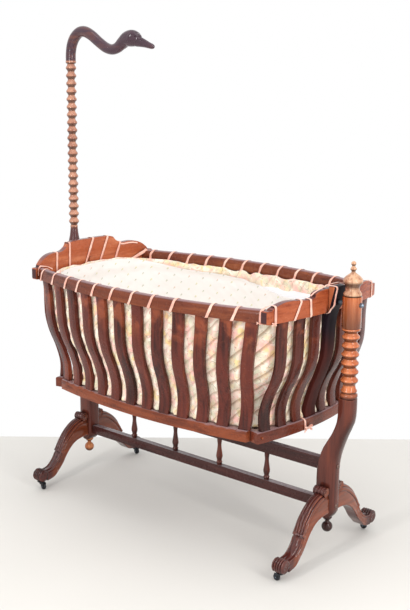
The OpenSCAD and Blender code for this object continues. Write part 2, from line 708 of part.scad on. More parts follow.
// Middle line of the neck and head, as distance from the head post's axis, height, and half height and width
swan_line = smooth([
    [0, 1622, 19, 19], [1, 1646, 19, 19], [8, 1676, 19.5, 19.5], [25, 1703, 20, 20], [52, 1721, 20, 20],
    [82, 1722, 20, 20], [116, 1707, 19.5, 19.5], [152, 1683, 18.5, 18.5], [186, 1664, 18, 18], [216, 1658, 17.5, 17.5],
    [244, 1666, 19, 17], [268, 1684, 22, 19], [292, 1695, 25, 22], [318, 1697, 27, 23], [344, 1692, 25, 20],
    [364, 1683, 17, 14], [388, 1675, 12.5, 11.5], [412, 1667, 9, 10.5], [427, 1662, 6, 7.5], [430, 1661, 3, 4]], 2);
swan_sides = 16;

// Level rings for the dowel and the neck's foot, then rings square to the line
module swan_neck() color(mahogany) translate([-post_x, 0, 0]) {
    n = len(swan_line);
    ring_angles = [for (k = [0:swan_sides - 1]) 360 * k / swan_sides];
    foot_rings = [for (r = [[neck_dowel_r, pole_top_z - 28], [neck_dowel_r, pole_top_z], [neck_r, pole_top_z]])
        [for (a = ring_angles) [-r[0] * cos(a), r[0] * sin(a), r[1]]]];
    neck_rings = [for (i = [0:n - 1])
        let (
            p = swan_line[i],
            d = swan_line[min(i + 1, n - 1)] - swan_line[max(i - 1, 0)],
            t = [d[0], d[1]] / norm([d[0], d[1]]))
        [for (a = ring_angles) [p[0] - t[1] * p[2] * cos(a), p[3] * sin(a), p[1] + t[0] * p[2] * cos(a)]]];
    loft(concat(foot_rings, neck_rings));
}

// ---------- bedding ----------

liner_sides = 48;

// Distance from the middle to an arc, along a direction, for an arc that bows outward
function reach_to_arc(run, rise, face, bow, half_chord) =
    let (radius = arc_radius(half_chord, bow), c = face + bow - radius, along = rise * c)
    along + sqrt(along * along - c * c + radius * radius);

// How far the slats have swept inward at a height: the ogee read by its share of the slat's height
function sweep_at(z) = lookup((z - frame_z) / slat_h, ogee_ascending);
ogee_ascending = [for (p = reversed(ogee)) [p[0], p[1]]];

// The inside of the slats at a height, drawn in by 'inset', as one ring of points
function inside_ring(z, inset, sides = liner_sides) =
    let (s = sweep_at(z))
    [for (k = [0:sides - 1])
        let (
            a = 360 * k / sides, cx = abs(cos(a)), cy = abs(sin(a)),
            to_side = reach_to_arc(cx, cy, 265 - 75 * s - inset, 82 + 21 * s, panel_half_l),
            to_end = reach_to_arc(cy, cx, 513 - 86 * s - inset, 35 + 14 * s, panel_half_w),
            reach = pow(pow(to_side, -14) + pow(to_end, -14), -1 / 14))
        [reach * cos(a), reach * sin(a), z]];

liner_inset = 4;
liner_t = 7;
lining_t = 3;
liner_bottom_z = frame_z + 2.6;
liner_top_z = rail_bottom_z - 4;
lining_gap = 1;
hem_drop = 42;
wall_levels = [478, 489, 503, 522, 546, 576, 612, 654, 700, 742];

// Heights of a rim at each of the liner's directions: a level, with a flat rise or sag round direction 'at'
function rim(level, lift_z, at, spread) = [for (k = [0:liner_sides - 1])
    level + lift_z * exp(-pow((360 * k / liner_sides - at) / spread, 4))];

// A bag: outer wall up, inner wall down, closed over its bottom
module bag(bottom_z, tops, inset, thickness) {
    function wall(z0, draw) = concat(
        [for (z = concat([z0], [for (l = wall_levels) if (l > z0 + 2) l])) inside_ring(z, draw)],
        [[for (k = [0:liner_sides - 1]) let (p = inside_ring(tops[k], draw)[k]) [p[0], p[1], tops[k]]]]);
    loft(concat(wall(bottom_z, inset), reversed(wall(bottom_z + thickness, inset + thickness))));
}

// The quilted bag inside the slats: it opens upward and hangs from the ribbons
module quilted_liner() color(quilt)
    bag(liner_bottom_z, rim(liner_top_z, 30, 180, 22), liner_inset, liner_t);

// The thin cotton lining inside the bag. Its hem sags at the rear of the foot end
module cotton_lining() color(cotton)
    bag(liner_bottom_z + liner_t + lining_gap, rim(liner_top_z - hem_drop, -34, 38, 24), liner_inset + liner_t + lining_gap,
        lining_t);

// A thin mattress with a crowned top and drawn-in sides
module mattress() color(cotton) {
    base = liner_bottom_z + liner_t + lining_gap + lining_t + 0.5;
    inset = liner_inset + liner_t + lining_t + 6;
    rings = [for (l = [[0, 14], [6, 6], [20, 2], [38, 2], [50, 8], [57, 22]]) inside_ring(base + l[0], inset + l[1])];
    crown = [for (l = [[63, 0.8], [66, 0.5], [67, 0.2]]) [for (p = inside_ring(base + 57, inset + 22)) [p[0] * l[1], p[1] * l[1], base + l[0]]]];
    loft(concat(rings, crown));
}

// ---------- ribbons ----------

ribbon_w = 8;
ribbon_t = 1;
ribbon_gap = 1.3;
lift = ribbon_gap + ribbon_t / 2;

function unit(v) = v / norm(v);

// The corners of a ribbon's section at stop i of a path of [place, way its face looks]
function ribbon_ring(path, i, around, w = ribbon_w) =
    let (
        n = len(path),
        before = around ? path[(i + n - 1) % n] : path[max(i - 1, 0)],
        after = around ? path[(i + 1) % n] : path[min(i + 1, n - 1)],
        p = path[i][0],
        across = unit(cross(after[0] - before[0], path[i][1])) * w / 2,
        thick = unit(path[i][1]) * ribbon_t / 2)
    [p - across - thick, p - across + thick, p + across + thick, p + across - thick];

module strip(path, w = ribbon_w) loft([for (i = [0:len(path) - 1]) ribbon_ring(path, i, false, w)]);
module hoop(path, w = ribbon_w) closed_loft([for (i = [0:len(path) - 1]) ribbon_ring(path, i, true, w)]);

// A stop near a bowed side rail, u out from its outer face, with its face looking out and up by the given shares
function by_side(x, u, z, out, up) =
    let (e = unit([x, -sqrt(side_radius * side_radius - x * x), 0]), far = side_face + side_bow + u)
    [[0, side_radius - side_face - side_bow, 0] + e * (far + side_radius - side_face - side_bow) + [0, 0, z],
        e * out + [0, 0, up]];

// A stop near a foot panel in the same way
function by_end(y, u, z, out, up) =
    let (e = unit([sqrt(end_radius * end_radius - y * y), y, 0]))
    [[end_centre, 0, z] + e * (end_radius + u), e * out + [0, 0, up]];

// One turn round a side rail, as offset out, height, looks out, looks up and share of the way to the next turn
top_centre = rim_z - rail_t / 2;
wrap_r = rail_t / 2 + lift + 0.4;
under_rail = rail_bottom_z - lift - 0.7;
rail_wrap = concat(
    [[lift, under_rail, 1, -1, 0], [lift, rail_bottom_z + 8, 1, 0, 0.07], [lift, top_centre - 2, 1, 0, 0.28]],
    [for (a = [30:30:150]) [-rail_t / 2 + wrap_r * cos(a), top_centre + wrap_r * sin(a), cos(a), sin(a), 0.28 + 0.2 * a / 150]],
    [[-rail_t - lift, top_centre - 2, -1, 0, 0.52], [-rail_t - lift, rail_bottom_z + 6, -1, 0, 0.88],
        [-rail_t - lift - 0.3, under_rail, -1, -1, 0.93]]);

// A stop on the round top of a side rail, at an angle up from its outer face
function over_rail(x, a) =
    by_side(x, -rail_t / 2 + wrap_r * cos(a), top_centre + wrap_r * sin(a), cos(a), sin(a));

// A spiral of ribbon round a top side rail, passing down between the slats at the numbered gaps
module side_lacing(side, gaps) {
    last = len(gaps) - 1;
    to_side(side) strip([for (i = [0:last]) for (w = rail_wrap)
        let (
            start = side_slat_x(gaps[i]) + slat_pitch - slat_w / 2 - 6,
            turn = (i < last ? gaps[i + 1] - gaps[i] : 0.6) * slat_pitch)
        by_side(start + w[4] * turn, w[0], w[1], w[2], w[3])]);
}

// One loop round an end panel: it hangs from the top edge at top_y and passes under the panel at low_y, between two
// end slats. Outside, it keeps beside the hanger
module end_loop(crest, wave, top_y, low_y) {
    edge = concat(smooth(crest), smooth(wave));
    top = max([for (d = [-4:2:4]) lookup(abs(top_y + d), edge)]) + lift + 1;
    under = under_rail;
    inner = -panel_t - lift;
    beside = max(abs(top_y), hanger_w / 2 + 7) * sign(low_y);
    beside_z = top > hanger_top_z + 10 ? hanger_top_z + 3 : top - 8;
    hoop([
        by_end(low_y, lift, under, 1, -1), by_end(low_y, lift, rail_bottom_z + 6, 1, 0),
        by_end(beside, lift, beside_z, 1, 0), by_end(top_y, lift, top - 3, 1, 0),
        by_end(top_y, 0, top, 1, 1), by_end(top_y, -panel_t, top, -1, 1), by_end(top_y, inner, top - 3, -1, 0),
        by_end(low_y, inner, rail_bottom_z + 6, -1, 0), by_end(low_y, inner, under, -1, -1)]);
}

// A strap over the foot panel and the end of a side rail, which ties their corner together
module corner_strap(side) {
    y = -272;
    x = 505;
    over = 890.5 + lift;
    under = under_rail;
    mirror([0, side == front ? 0 : 1, 0]) hoop([
        by_end(y, lift, under, 1, -1), by_end(y, lift, rail_bottom_z + 8, 1, 0), by_end(y, lift, over - 4, 1, 0),
        by_end(y, 0, over + 1, 1, 1), by_end(y, -panel_t, over + 1, 0, 1), over_rail(x + 4, 80),
        over_rail(x + 1, 50), over_rail(x, 25), by_side(x, lift + 0.4, top_centre, 1, 0),
        by_side(x - 1, lift, rail_bottom_z + 8, 1, 0), by_side(x - 1, lift, under, 1, -1),
        by_side(x + 8, -10, under - 0.3, 0, -1)]);
}

// The last loop of the foot end runs down the hanger's outer face near its front edge
module hanger_loop() {
    y = -23;
    side_y = -hanger_w / 2 - 8;
    inner = -panel_t - lift;
    hoop([
        [[560, side_y - 2, under_rail], [0, 0, -1]], [[573, side_y, under_rail], [1, 0, -1]],
        [[578, y - 4, rail_bottom_z], [1, 0, 0]], [[584, y, 850], [1, 0, -0.4]],
        [[hanger_out + lift + 1, y, pivot_z - 6], [1, 0, 0]], [[hanger_out + lift + 1, y, pivot_z + 12], [1, 0, 0]],
        [[hanger_out + 7, y, hanger_top_z - 5], [1, 0, 0]], [[hanger_out + 4, y, hanger_top_z + lift + 0.6], [1, 0, 1]],
        [[560, y - 2, hanger_top_z + lift], [0, 0, 1]], by_end(y - 4, inner - 1, 918, -1, 1),
        by_end(side_y, inner, 900, -1, 0), by_end(side_y, inner, rail_bottom_z + 6, -1, 0),
        by_end(side_y - 1, inner, under_rail, -1, -1)]);
}

// A taut run along the top of the foot panel, over the hanger's top
module crest_run() {
    over = hanger_top_z + lift + ribbon_t + 0.8;
    strip([for (p = [[-112, 901.8], [-94, 911], [-64, 918], [-30, over], [0, over], [34, over], [70, 917]])
        by_end(p[0], -8, p[1], 0, 1)], 5);
}

module front_ribbon() color(pink) side_lacing(front, [-1, 0, 1, 2, 3, 4, 5, 6, 7, 9, 10]);
module back_ribbon() color(pink) side_lacing(rear, [for (k = [-1:slats_per_side - 2]) k]);
module head_ribbon() color(pink)
    for (l = [[-180, -190], [-121, -118], [-4, -41], [76, 41], [137, 116], [190, 190]]) rotate([0, 0, 180])
        end_loop(head_crest, head_wave, -l[0], -l[1]);
module foot_ribbon() color(pink) {
    for (l = [[-164, -190], [-120, -116]]) end_loop(foot_crest, foot_wave, l[0], l[1]);
    hanger_loop();
    crest_run();
    for (side = [front, rear]) corner_strap(side);
}

// A bow in its own frame: x runs across its loops, y stands off the wood and z is up
bow_loops = [[2.6, 3.2], [10, 1.8], [18, 3], [22, 7], [18, 11], [10, 9.5], [2.6, 6.4]];
bow_tail = [[3.4, 4.8, -2], [7, 5.4, -11], [9, 4.6, -21], [14, 5.4, -31]];
module bow() {
    translate([0, 4.8, 0]) rotate([90, 0, 0]) cylinder(r = 4.4, h = 6, center = true, $fn = 24);
    for (s = [-1, 1]) mirror([s < 0 ? 1 : 0, 0, 0]) {
        hoop([for (i = [0:len(bow_loops) - 1]) let (
                p = bow_loops[i],
                d = bow_loops[(i + 1) % len(bow_loops)] - bow_loops[(i + len(bow_loops) - 1) % len(bow_loops)])
            [[p[0], p[1], p[0] * 0.35], [d[1], -d[0], 0]]], 5);
        strip([for (p = bow_tail) [p, [0, 1, 0.1]]], 6);
    }
}

bottom_hoop_y = -42;

// Bows where the ribbons are tied off: two at the front foot corner and one under the foot's bottom rail
module ribbon_bows() color(pink) {
    top = frame_z + lift;
    low = frame_z - frame_rail_h - lift;
    outer = frame_half_l + frame_end_bow - 0.8 + lift;
    inner = outer - frame_rail_w - 2 * lift - 0.4;
    hoop([for (p = [[outer, low, 1, -1], [outer, frame_z - 10, 1, 0], [outer - 0.8, frame_z - 4.4, 1, 0.5],
            [outer - 4, frame_z - 0.6, 0.7, 1], [outer - 10, top, 0, 1], [inner, top, -1, 1], [inner, low, -1, -1]])
        [[p[0], bottom_hoop_y, p[1]], [p[2], 0, p[3]]]]);
    translate([outer + 0.6, bottom_hoop_y, frame_z - frame_rail_h + 2]) rotate([0, 0, -90]) bow();
    translate([end_x(272) + lift + 0.6, -272, rail_bottom_z + 4]) rotate([0, 0, -102]) bow();
    translate([484, -side_y(484) - lift - 0.6, rail_bottom_z + 6]) rotate([0, 0, 196]) bow();
}

head_post();
foot_post();
post_finial();
head_post_pendant();
foot_post_pendant();
head_front_leg();
head_rear_leg();
foot_front_leg();
foot_rear_leg();
upper_stretcher();
lower_stretcher();
stretcher_spindles();
stretcher_bolts();
pivot_bushes();
caster_plates();
canopy_pole();
swan_neck();
head_panel();
foot_panel();
front_top_rail();
back_top_rail();
front_bottom_rail();
back_bottom_rail();
head_bottom_rail();
foot_bottom_rail();
head_hanger();
foot_hanger();
front_slats();
back_slats();
head_slats();
foot_slats();
bottom_boards();
bottom_cleats();
corner_pegs();
pivot_bolts();
pivot_nuts();
pivot_washers();
mattress();
quilted_liner();
cotton_lining();
front_ribbon();
back_ribbon();
head_ribbon();
foot_ribbon();
ribbon_bows();
head_front_fork();
head_rear_fork();
foot_front_fork();
foot_rear_fork();
head_front_axle();
head_rear_axle();
foot_front_axle();
foot_rear_axle();
head_front_wheel();
head_rear_wheel();
foot_front_wheel();
foot_rear_wheel();
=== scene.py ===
"""The looks of a swinging cradle on its stand: polished mahogany, turned and carved, with laced-in bedding.

Everything is in metres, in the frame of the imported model: X runs from the head end, with the canopy pole,
to the foot end, -Y is the side that the camera sees, and Z is up.
"""
import math

import bmesh
import bpy
import numpy as np
from mathutils import Matrix, Vector


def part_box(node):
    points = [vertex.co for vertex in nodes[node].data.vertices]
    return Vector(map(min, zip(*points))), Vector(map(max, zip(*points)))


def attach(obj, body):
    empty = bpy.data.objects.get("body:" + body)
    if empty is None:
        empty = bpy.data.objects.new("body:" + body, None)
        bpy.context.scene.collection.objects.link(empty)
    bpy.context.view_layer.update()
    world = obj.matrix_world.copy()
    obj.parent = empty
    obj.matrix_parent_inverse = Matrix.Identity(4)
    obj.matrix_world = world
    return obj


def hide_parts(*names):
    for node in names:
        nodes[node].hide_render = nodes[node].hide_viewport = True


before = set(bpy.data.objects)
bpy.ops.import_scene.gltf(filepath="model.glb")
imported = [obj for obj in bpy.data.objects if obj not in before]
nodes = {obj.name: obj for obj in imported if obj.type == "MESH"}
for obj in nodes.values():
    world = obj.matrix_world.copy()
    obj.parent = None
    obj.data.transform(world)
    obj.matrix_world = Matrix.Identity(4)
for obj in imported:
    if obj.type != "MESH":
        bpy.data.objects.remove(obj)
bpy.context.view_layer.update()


# ---------- camera, lights and floor ----------

PHOTO_HEIGHT = 610
FOCAL_PIXELS = 1036.5
SENSOR = 36
CAMERA_PLACE = (2.3484, -2.7219, 1.5702)
CAMERA_AZIMUTH = math.radians(40.39)
CAMERA_ELEVATION = math.radians(12.52)
CAMERA_ROLL = math.radians(0.44)


def link(obj):
    bpy.context.scene.collection.objects.link(obj)
    return obj


def looking(place, back, roll=0.0):
    """The matrix of something at a place that looks away from 'back', rolled about its own line of sight."""
    right = Vector((0, 0, 1)).cross(back).normalized()
    up = back.cross(right)
    turned = right * math.cos(roll) + up * math.sin(roll)
    matrix = Matrix((turned, back.cross(turned), back)).transposed().to_4x4()
    matrix.translation = place
    return matrix


def make_camera():
    camera = link(bpy.data.objects.new("camera", bpy.data.cameras.new("camera")))
    camera.data.sensor_width = SENSOR
    camera.data.lens = FOCAL_PIXELS * SENSOR / PHOTO_HEIGHT
    level = math.cos(CAMERA_ELEVATION)
    back = Vector((
        math.sin(CAMERA_AZIMUTH) * level, -math.cos(CAMERA_AZIMUTH) * level, math.sin(CAMERA_ELEVATION)))
    camera.matrix_world = looking(CAMERA_PLACE, back, CAMERA_ROLL)
    bpy.context.scene.camera = camera


def softbox(name, place, aim, size, power, colour=(1, 1, 1)):
    light = link(bpy.data.objects.new(name, bpy.data.lights.new(name, "AREA")))
    light.data.shape = "RECTANGLE"
    light.data.size, light.data.size_y = size
    light.data.energy = power
    light.data.color = colour
    light.matrix_world = looking(place, (Vector(place) - Vector(aim)).normalized())


def make_lights():
    middle = (0, 0, 0.7)
    softbox("key", (3.3, -0.7, 2.0), middle, (0.28, 2.6), 42, (1.0, 0.97, 0.95))
    softbox("fill", (0.3, -3.6, 1.9), middle, (0.26, 2.6), 42, (1.0, 0.99, 0.98))
    softbox("top", (0.2, -0.4, 3.2), middle, (1.6, 1.6), 10)
    world = bpy.data.worlds.new("studio")
    world.use_nodes = True
    background = world.node_tree.nodes["Background"].inputs
    background["Color"].default_value = (1, 1, 1, 1)
    background["Strength"].default_value = 1.0
    bpy.context.scene.world = world
    bpy.context.scene.view_settings.view_transform = "Standard"


# ---------- shader building ----------

class Shader:
    """One material and a short way to write its nodes."""

    def __init__(self, name):
        self.material = bpy.data.materials.new(name)
        self.material.use_nodes = True
        self.tree = self.material.node_tree
        self.surface = self.tree.nodes["Principled BSDF"]

    def node(self, kind, **settings):
        made = self.tree.nodes.new(kind)
        for key, value in settings.items():
            setattr(made, key, value)
        return made

    def put(self, value, socket):
        if isinstance(value, bpy.types.NodeSocket):
            self.tree.links.new(value, socket)
        else:
            socket.default_value = value

    def fed(self, kind, values, **settings):
        """The outputs of a new node, with values or links for its inputs, by number or name."""
        made = self.node(kind, **settings)
        for key, value in values.items():
            self.put(value, made.inputs[key])
        return made.outputs

    def set(self, **values):
        for key, value in values.items():
            self.put(value, self.surface.inputs[key.replace("_", " ")])

    def calc(self, operation, a, b=0.0, c=0.0):
        return self.fed("ShaderNodeMath", {0: a, 1: b, 2: c}, operation=operation)[0]

    def times(self, a, b):
        return self.calc("MULTIPLY", a, b)

    def plus(self, a, b):
        return self.calc("ADD", a, b)

    def scaled(self, a, b, c):
        """a * b + c."""
        return self.calc("MULTIPLY_ADD", a, b, c)

    def size(self, a):
        return self.calc("ABSOLUTE", a)

    def vector(self, operation, a, b):
        return self.fed("ShaderNodeVectorMath", {0: a, 1: b}, operation=operation)["Vector"]

    def split(self, a):
        return self.fed("ShaderNodeSeparateXYZ", {0: a})

    def join(self, x, y, z):
        return self.fed("ShaderNodeCombineXYZ", {0: x, 1: y, 2: z})[0]

    def mix(self, share, a, b):
        """Colour a, or b where the share is 1."""
        return self.fed("ShaderNodeMix", {0: share, 6: a, 7: b}, data_type="RGBA")[2]

    def span(self, value, low, high, to_low=0.0, to_high=1.0):
        """A smooth step from 'to_low', where the value is 'low', to 'to_high', where it is 'high'."""
        values = {0: value, 1: low, 2: high, 3: to_low, 4: to_high}
        return self.fed("ShaderNodeMapRange", values, interpolation_type="SMOOTHSTEP")[0]

    def noise(self, where, scale, detail, rough, distortion=0.0, colour=False):
        made = self.fed("ShaderNodeTexNoise", {
            "Vector": where, "Scale": scale, "Detail": detail, "Roughness": rough, "Distortion": distortion})
        return made["Color" if colour else "Fac"]

    def cells(self, where, scale, randomness):
        return self.fed("ShaderNodeTexVoronoi", {"Vector": where, "Scale": scale, "Randomness": randomness})

    def random(self, where):
        return self.fed("ShaderNodeTexWhiteNoise", {"Vector": where}, noise_dimensions="3D")

    def place(self):
        return self.node("ShaderNodeTexCoord").outputs["Object"]

    def facing(self):
        return self.split(self.node("ShaderNodeNewGeometry").outputs["Normal"])

    def cloth(self):
        """Where a point lies on the cloth as cut, in metres."""
        return self.node("ShaderNodeUVMap", uv_map="cloth").outputs[0]

    def corners(self, reach):
        """1 in the open, less in corners."""
        return self.fed("ShaderNodeAmbientOcclusion", {"Distance": reach}, samples=6)["AO"]

    def bump(self, height, distance):
        return self.fed("ShaderNodeBump", {"Strength": 1.0, "Distance": distance, "Height": height})[0]


def rgb(red, green, blue):
    """A colour as a screen shows it, from 0 to 255, as the linear colour that a shader takes."""
    def linear(v):
        v = v / 255
        return v / 12.92 if v <= 0.04045 else ((v + 0.055) / 1.055) ** 2.4
    return (linear(red), linear(green), linear(blue), 1)


# ---------- wood, metal ----------

ALONG = {"X": (0.05, 1, 1), "Y": (1, 0.05, 1), "Z": (1, 1, 0.05)}
PORES_ALONG = {"X": (0.035, 1, 1), "Y": (1, 0.035, 1), "Z": (1, 1, 0.035)}
# The colour of painted shade on faces that look down.
UNDERSIDE_SHADE = (0.02, 0.004, 0.003, 1)
PORE = (0.012, 0.004, 0.003, 1)
# The colour of painted shade in corners and recesses.
CORNER_SHADE = (0.010, 0.004, 0.004, 1)
# The colour of painted shade in the metal's corners.
IRON_CORNER_SHADE = (0.01, 0.009, 0.008, 1)
PALE_GLOW = (1, 0.8, 0.5, 1)
FADED_COAT = 0.50           # coat where the 'fade' colour has taken over
FLANK_BLUR = 0.012
PANEL_LOW = 0.838           # underside of the end panels
WEDGE_HALF, WEDGE_GROWTH = 0.571, 0.25   # a hanger's wedge at that height, and its growth a metre
BOLT_HEAD_AT = 0.556        # the bolts' heads, painted like the panels, lie nearer to the middle than this


def wood(name, along, dark, middle, light, gloss=0.22, shine=(0.24, 0.10), planks=None, fade=None, flank=None,
         warm_top=None, ends=None, upper=None, lower=0.0):
    """Polished mahogany with its grain along one axis.

    gloss is its roughness, and shine is the specular level and the coat. planks is (axis, width, offset) where
    each board in a row has its own tone. fade is (low, high, colour): above the height 'high' the wood takes on
    that colour. flank is a lighter colour painted on faces that look along X, up to a distance from the middle,
    standing in for light on the sides: (colour, distance). warm_top is (low, high): between these heights
    painted highlights set in as patches of orange, and they go on above.
    ends is the colour of faces that look along Y, and upper is the colour and share of a painted reflection on
    faces that look up. lower is the share of painted shade on faces that look down.
    """
    s = Shader(name)
    place = s.place()
    grain = s.vector("MULTIPLY", place, ALONG[along])
    tone_shift = 0.0
    if planks:
        axis, width, offset = planks
        board = s.calc("FLOOR", s.scaled(s.split(place)[axis], 1 / width, offset))
        side = s.calc("SIGN", s.split(place)[1 - axis])
        chance = s.random(s.join(board, side, 0.5))
        grain = s.vector("ADD", grain, s.vector("MULTIPLY", chance["Color"], (3, 3, 3)))
        tone_shift = s.scaled(chance["Value"], 0.15, -0.095)
    figure = s.noise(grain, 16, 4, 0.6, 0.9)
    streak = s.noise(grain, 90, 5, 0.65, 0.4)
    broad = s.noise(place, 5, 2, 0.5)
    tone = s.plus(s.times(figure, 0.55), s.times(streak, 0.45))
    tone = s.plus(tone, s.scaled(broad, 0.36, -0.18))
    tone = s.plus(tone, tone_shift)
    colour = s.mix(s.span(tone, 0.30, 0.50), dark, middle)
    colour = s.mix(s.span(tone, 0.50, 0.72), colour, light)
    specular, coat = shine
    if fade:
        low, high, over = fade
        height = s.plus(s.split(place)[2], s.scaled(broad, 0.04, -0.02))
        coat = s.span(height, low, high, coat, FADED_COAT)
        warm = s.mix(s.span(tone, 0.30, 0.70), s.mix(0.55, over, dark), s.mix(0.25, over, PALE_GLOW))
        colour = s.mix(s.span(height, low, high), colour, warm)
    facing = s.facing()
    if flank:
        over, reach_out = flank
        # Painted light: faces that look along X take a lighter colour, as if lit from the side.
        lit_flank = s.mix(s.span(tone, 0.35, 0.65), s.mix(0.45, over, dark), over)
        near_post = s.span(s.size(s.split(place)[1]), reach_out + FLANK_BLUR, reach_out - FLANK_BLUR)
        share = s.times(s.span(s.size(facing[0]), 0.62, 0.90, 0.0, 0.85), near_post)
        colour = s.mix(share, colour, lit_flank)
    if ends:
        colour = s.mix(s.span(s.size(facing[1]), 0.75, 0.95), colour, ends)
    # Painted reflection: faces that look up take the colour given in upper, as the room above seen in the polish.
    if upper:
        painted_sheen, most = upper
        colour = s.mix(s.span(facing[2], 0.60, 0.95, 0.0, most), colour, painted_sheen)
    # Painted shade: faces that look down are darkened toward this colour.
    if lower:
        share = s.span(facing[2], 0.15, -0.45, 0.0, lower)
        colour = s.mix(share, colour, s.mix(0.8, colour, UNDERSIDE_SHADE))
    # Painted highlights: patches of orange near the top.
    if warm_top:
        patches = s.span(s.noise(place, 11, 3, 0.6, 0.5), 0.46, 0.62)
        near_top = s.span(s.split(place)[2], *warm_top)
        colour = s.mix(s.times(s.times(patches, near_top), 0.50), colour, ORANGE_MIDDLE)
    pores = s.noise(s.vector("MULTIPLY", place, PORES_ALONG[along]), 620, 2, 0.5)
    pore = s.span(pores, 0.62, 0.72)
    colour = s.mix(s.times(pore, 0.35), colour, PORE)
    # Painted shade: darker in corners and recesses, by ambient occlusion.
    colour = s.mix(s.span(s.corners(0.02), 0.25, 0.9, 0.62, 0.0), colour, CORNER_SHADE)
    rub = s.noise(place, 38, 4, 0.6)
    s.set(Base_Color=colour, Roughness=s.span(rub, 0.3, 0.75, gloss * 0.8, gloss * 1.7),
          Specular_IOR_Level=specular, Coat_Weight=coat, Coat_Roughness=0.07)
    height = s.calc("SUBTRACT", s.times(s.noise(grain, 45, 3, 0.5), 0.4), s.times(pore, 0.6))
    s.set(Normal=s.bump(height, 0.0004))
    return s.material


def metal(name, colour, rust, roughness):
    s = Shader(name)
    place = s.place()
    spots = s.span(s.noise(place, 140, 5, 0.7), 0.45, 0.7)
    # Painted shade: the metal darkens in corners and recesses, by ambient occlusion.
    corner_shade = s.span(s.corners(0.006), 0.2, 0.9, 0.7, 0.0)
    s.set(Base_Color=s.mix(corner_shade, s.mix(spots, colour, rust), IRON_CORNER_SHADE), Metallic=0.85,
          Roughness=s.span(spots, 0, 1, roughness, roughness + 0.3))
    s.set(Normal=s.bump(s.noise(place, 400, 4, 0.6), 0.0002))
    return s.material


def dress(material, *names):
    for name in names:
        obj = nodes[name]
        obj.data.materials.clear()
        obj.data.materials.append(material)


RED_DARK, RED_MIDDLE, RED_LIGHT = rgb(54, 20, 16), rgb(97, 40, 30), rgb(132, 63, 41)
ORANGE_DARK, ORANGE_MIDDLE, ORANGE_LIGHT = rgb(126, 52, 28), rgb(172, 88, 54), rgb(206, 126, 86)
AMBER_DARK, AMBER_MIDDLE, AMBER_LIGHT = rgb(112, 50, 26), rgb(170, 86, 46), rgb(214, 140, 92)
DEEP_DARK, DEEP_MIDDLE, DEEP_LIGHT = rgb(38, 20, 20), rgb(68, 36, 34), rgb(104, 58, 52)


def hanger_wood():
    """Near-black at the top, a painted shadow of the post, and dark red lower down.
    On its narrow sides a wedge beside the panel has the panel's own colour.
    """
    s = Shader("hanger_wood")
    place = s.place()
    x, _, z = s.split(place)
    grain = s.noise(s.vector("MULTIPLY", place, ALONG["Z"]), 60, 4, 0.6)
    # Painted shadow: near-black at the top, where the post's shadow falls.
    dark = s.mix(grain, rgb(20, 15, 22), rgb(44, 32, 40))
    red = s.mix(grain, rgb(44, 18, 18), rgb(88, 40, 34))
    dark = s.mix(s.span(z, PANEL_LOW - 0.04, PANEL_LOW - 0.16), dark, red)
    orange = s.mix(grain, ORANGE_DARK, ORANGE_LIGHT)
    edge = s.scaled(s.calc("SUBTRACT", z, PANEL_LOW), WEDGE_GROWTH, WEDGE_HALF)
    narrow_side = s.calc("GREATER_THAN", s.size(s.facing()[1]), 0.8)
    wedge = s.times(s.calc("LESS_THAN", s.size(x), edge), narrow_side)
    wedge = s.times(wedge, s.calc("GREATER_THAN", z, PANEL_LOW))
    s.set(Base_Color=s.mix(wedge, dark, orange), Roughness=0.42, Specular_IOR_Level=0.04,
          Normal=s.bump(grain, 0.0003))
    return s.material


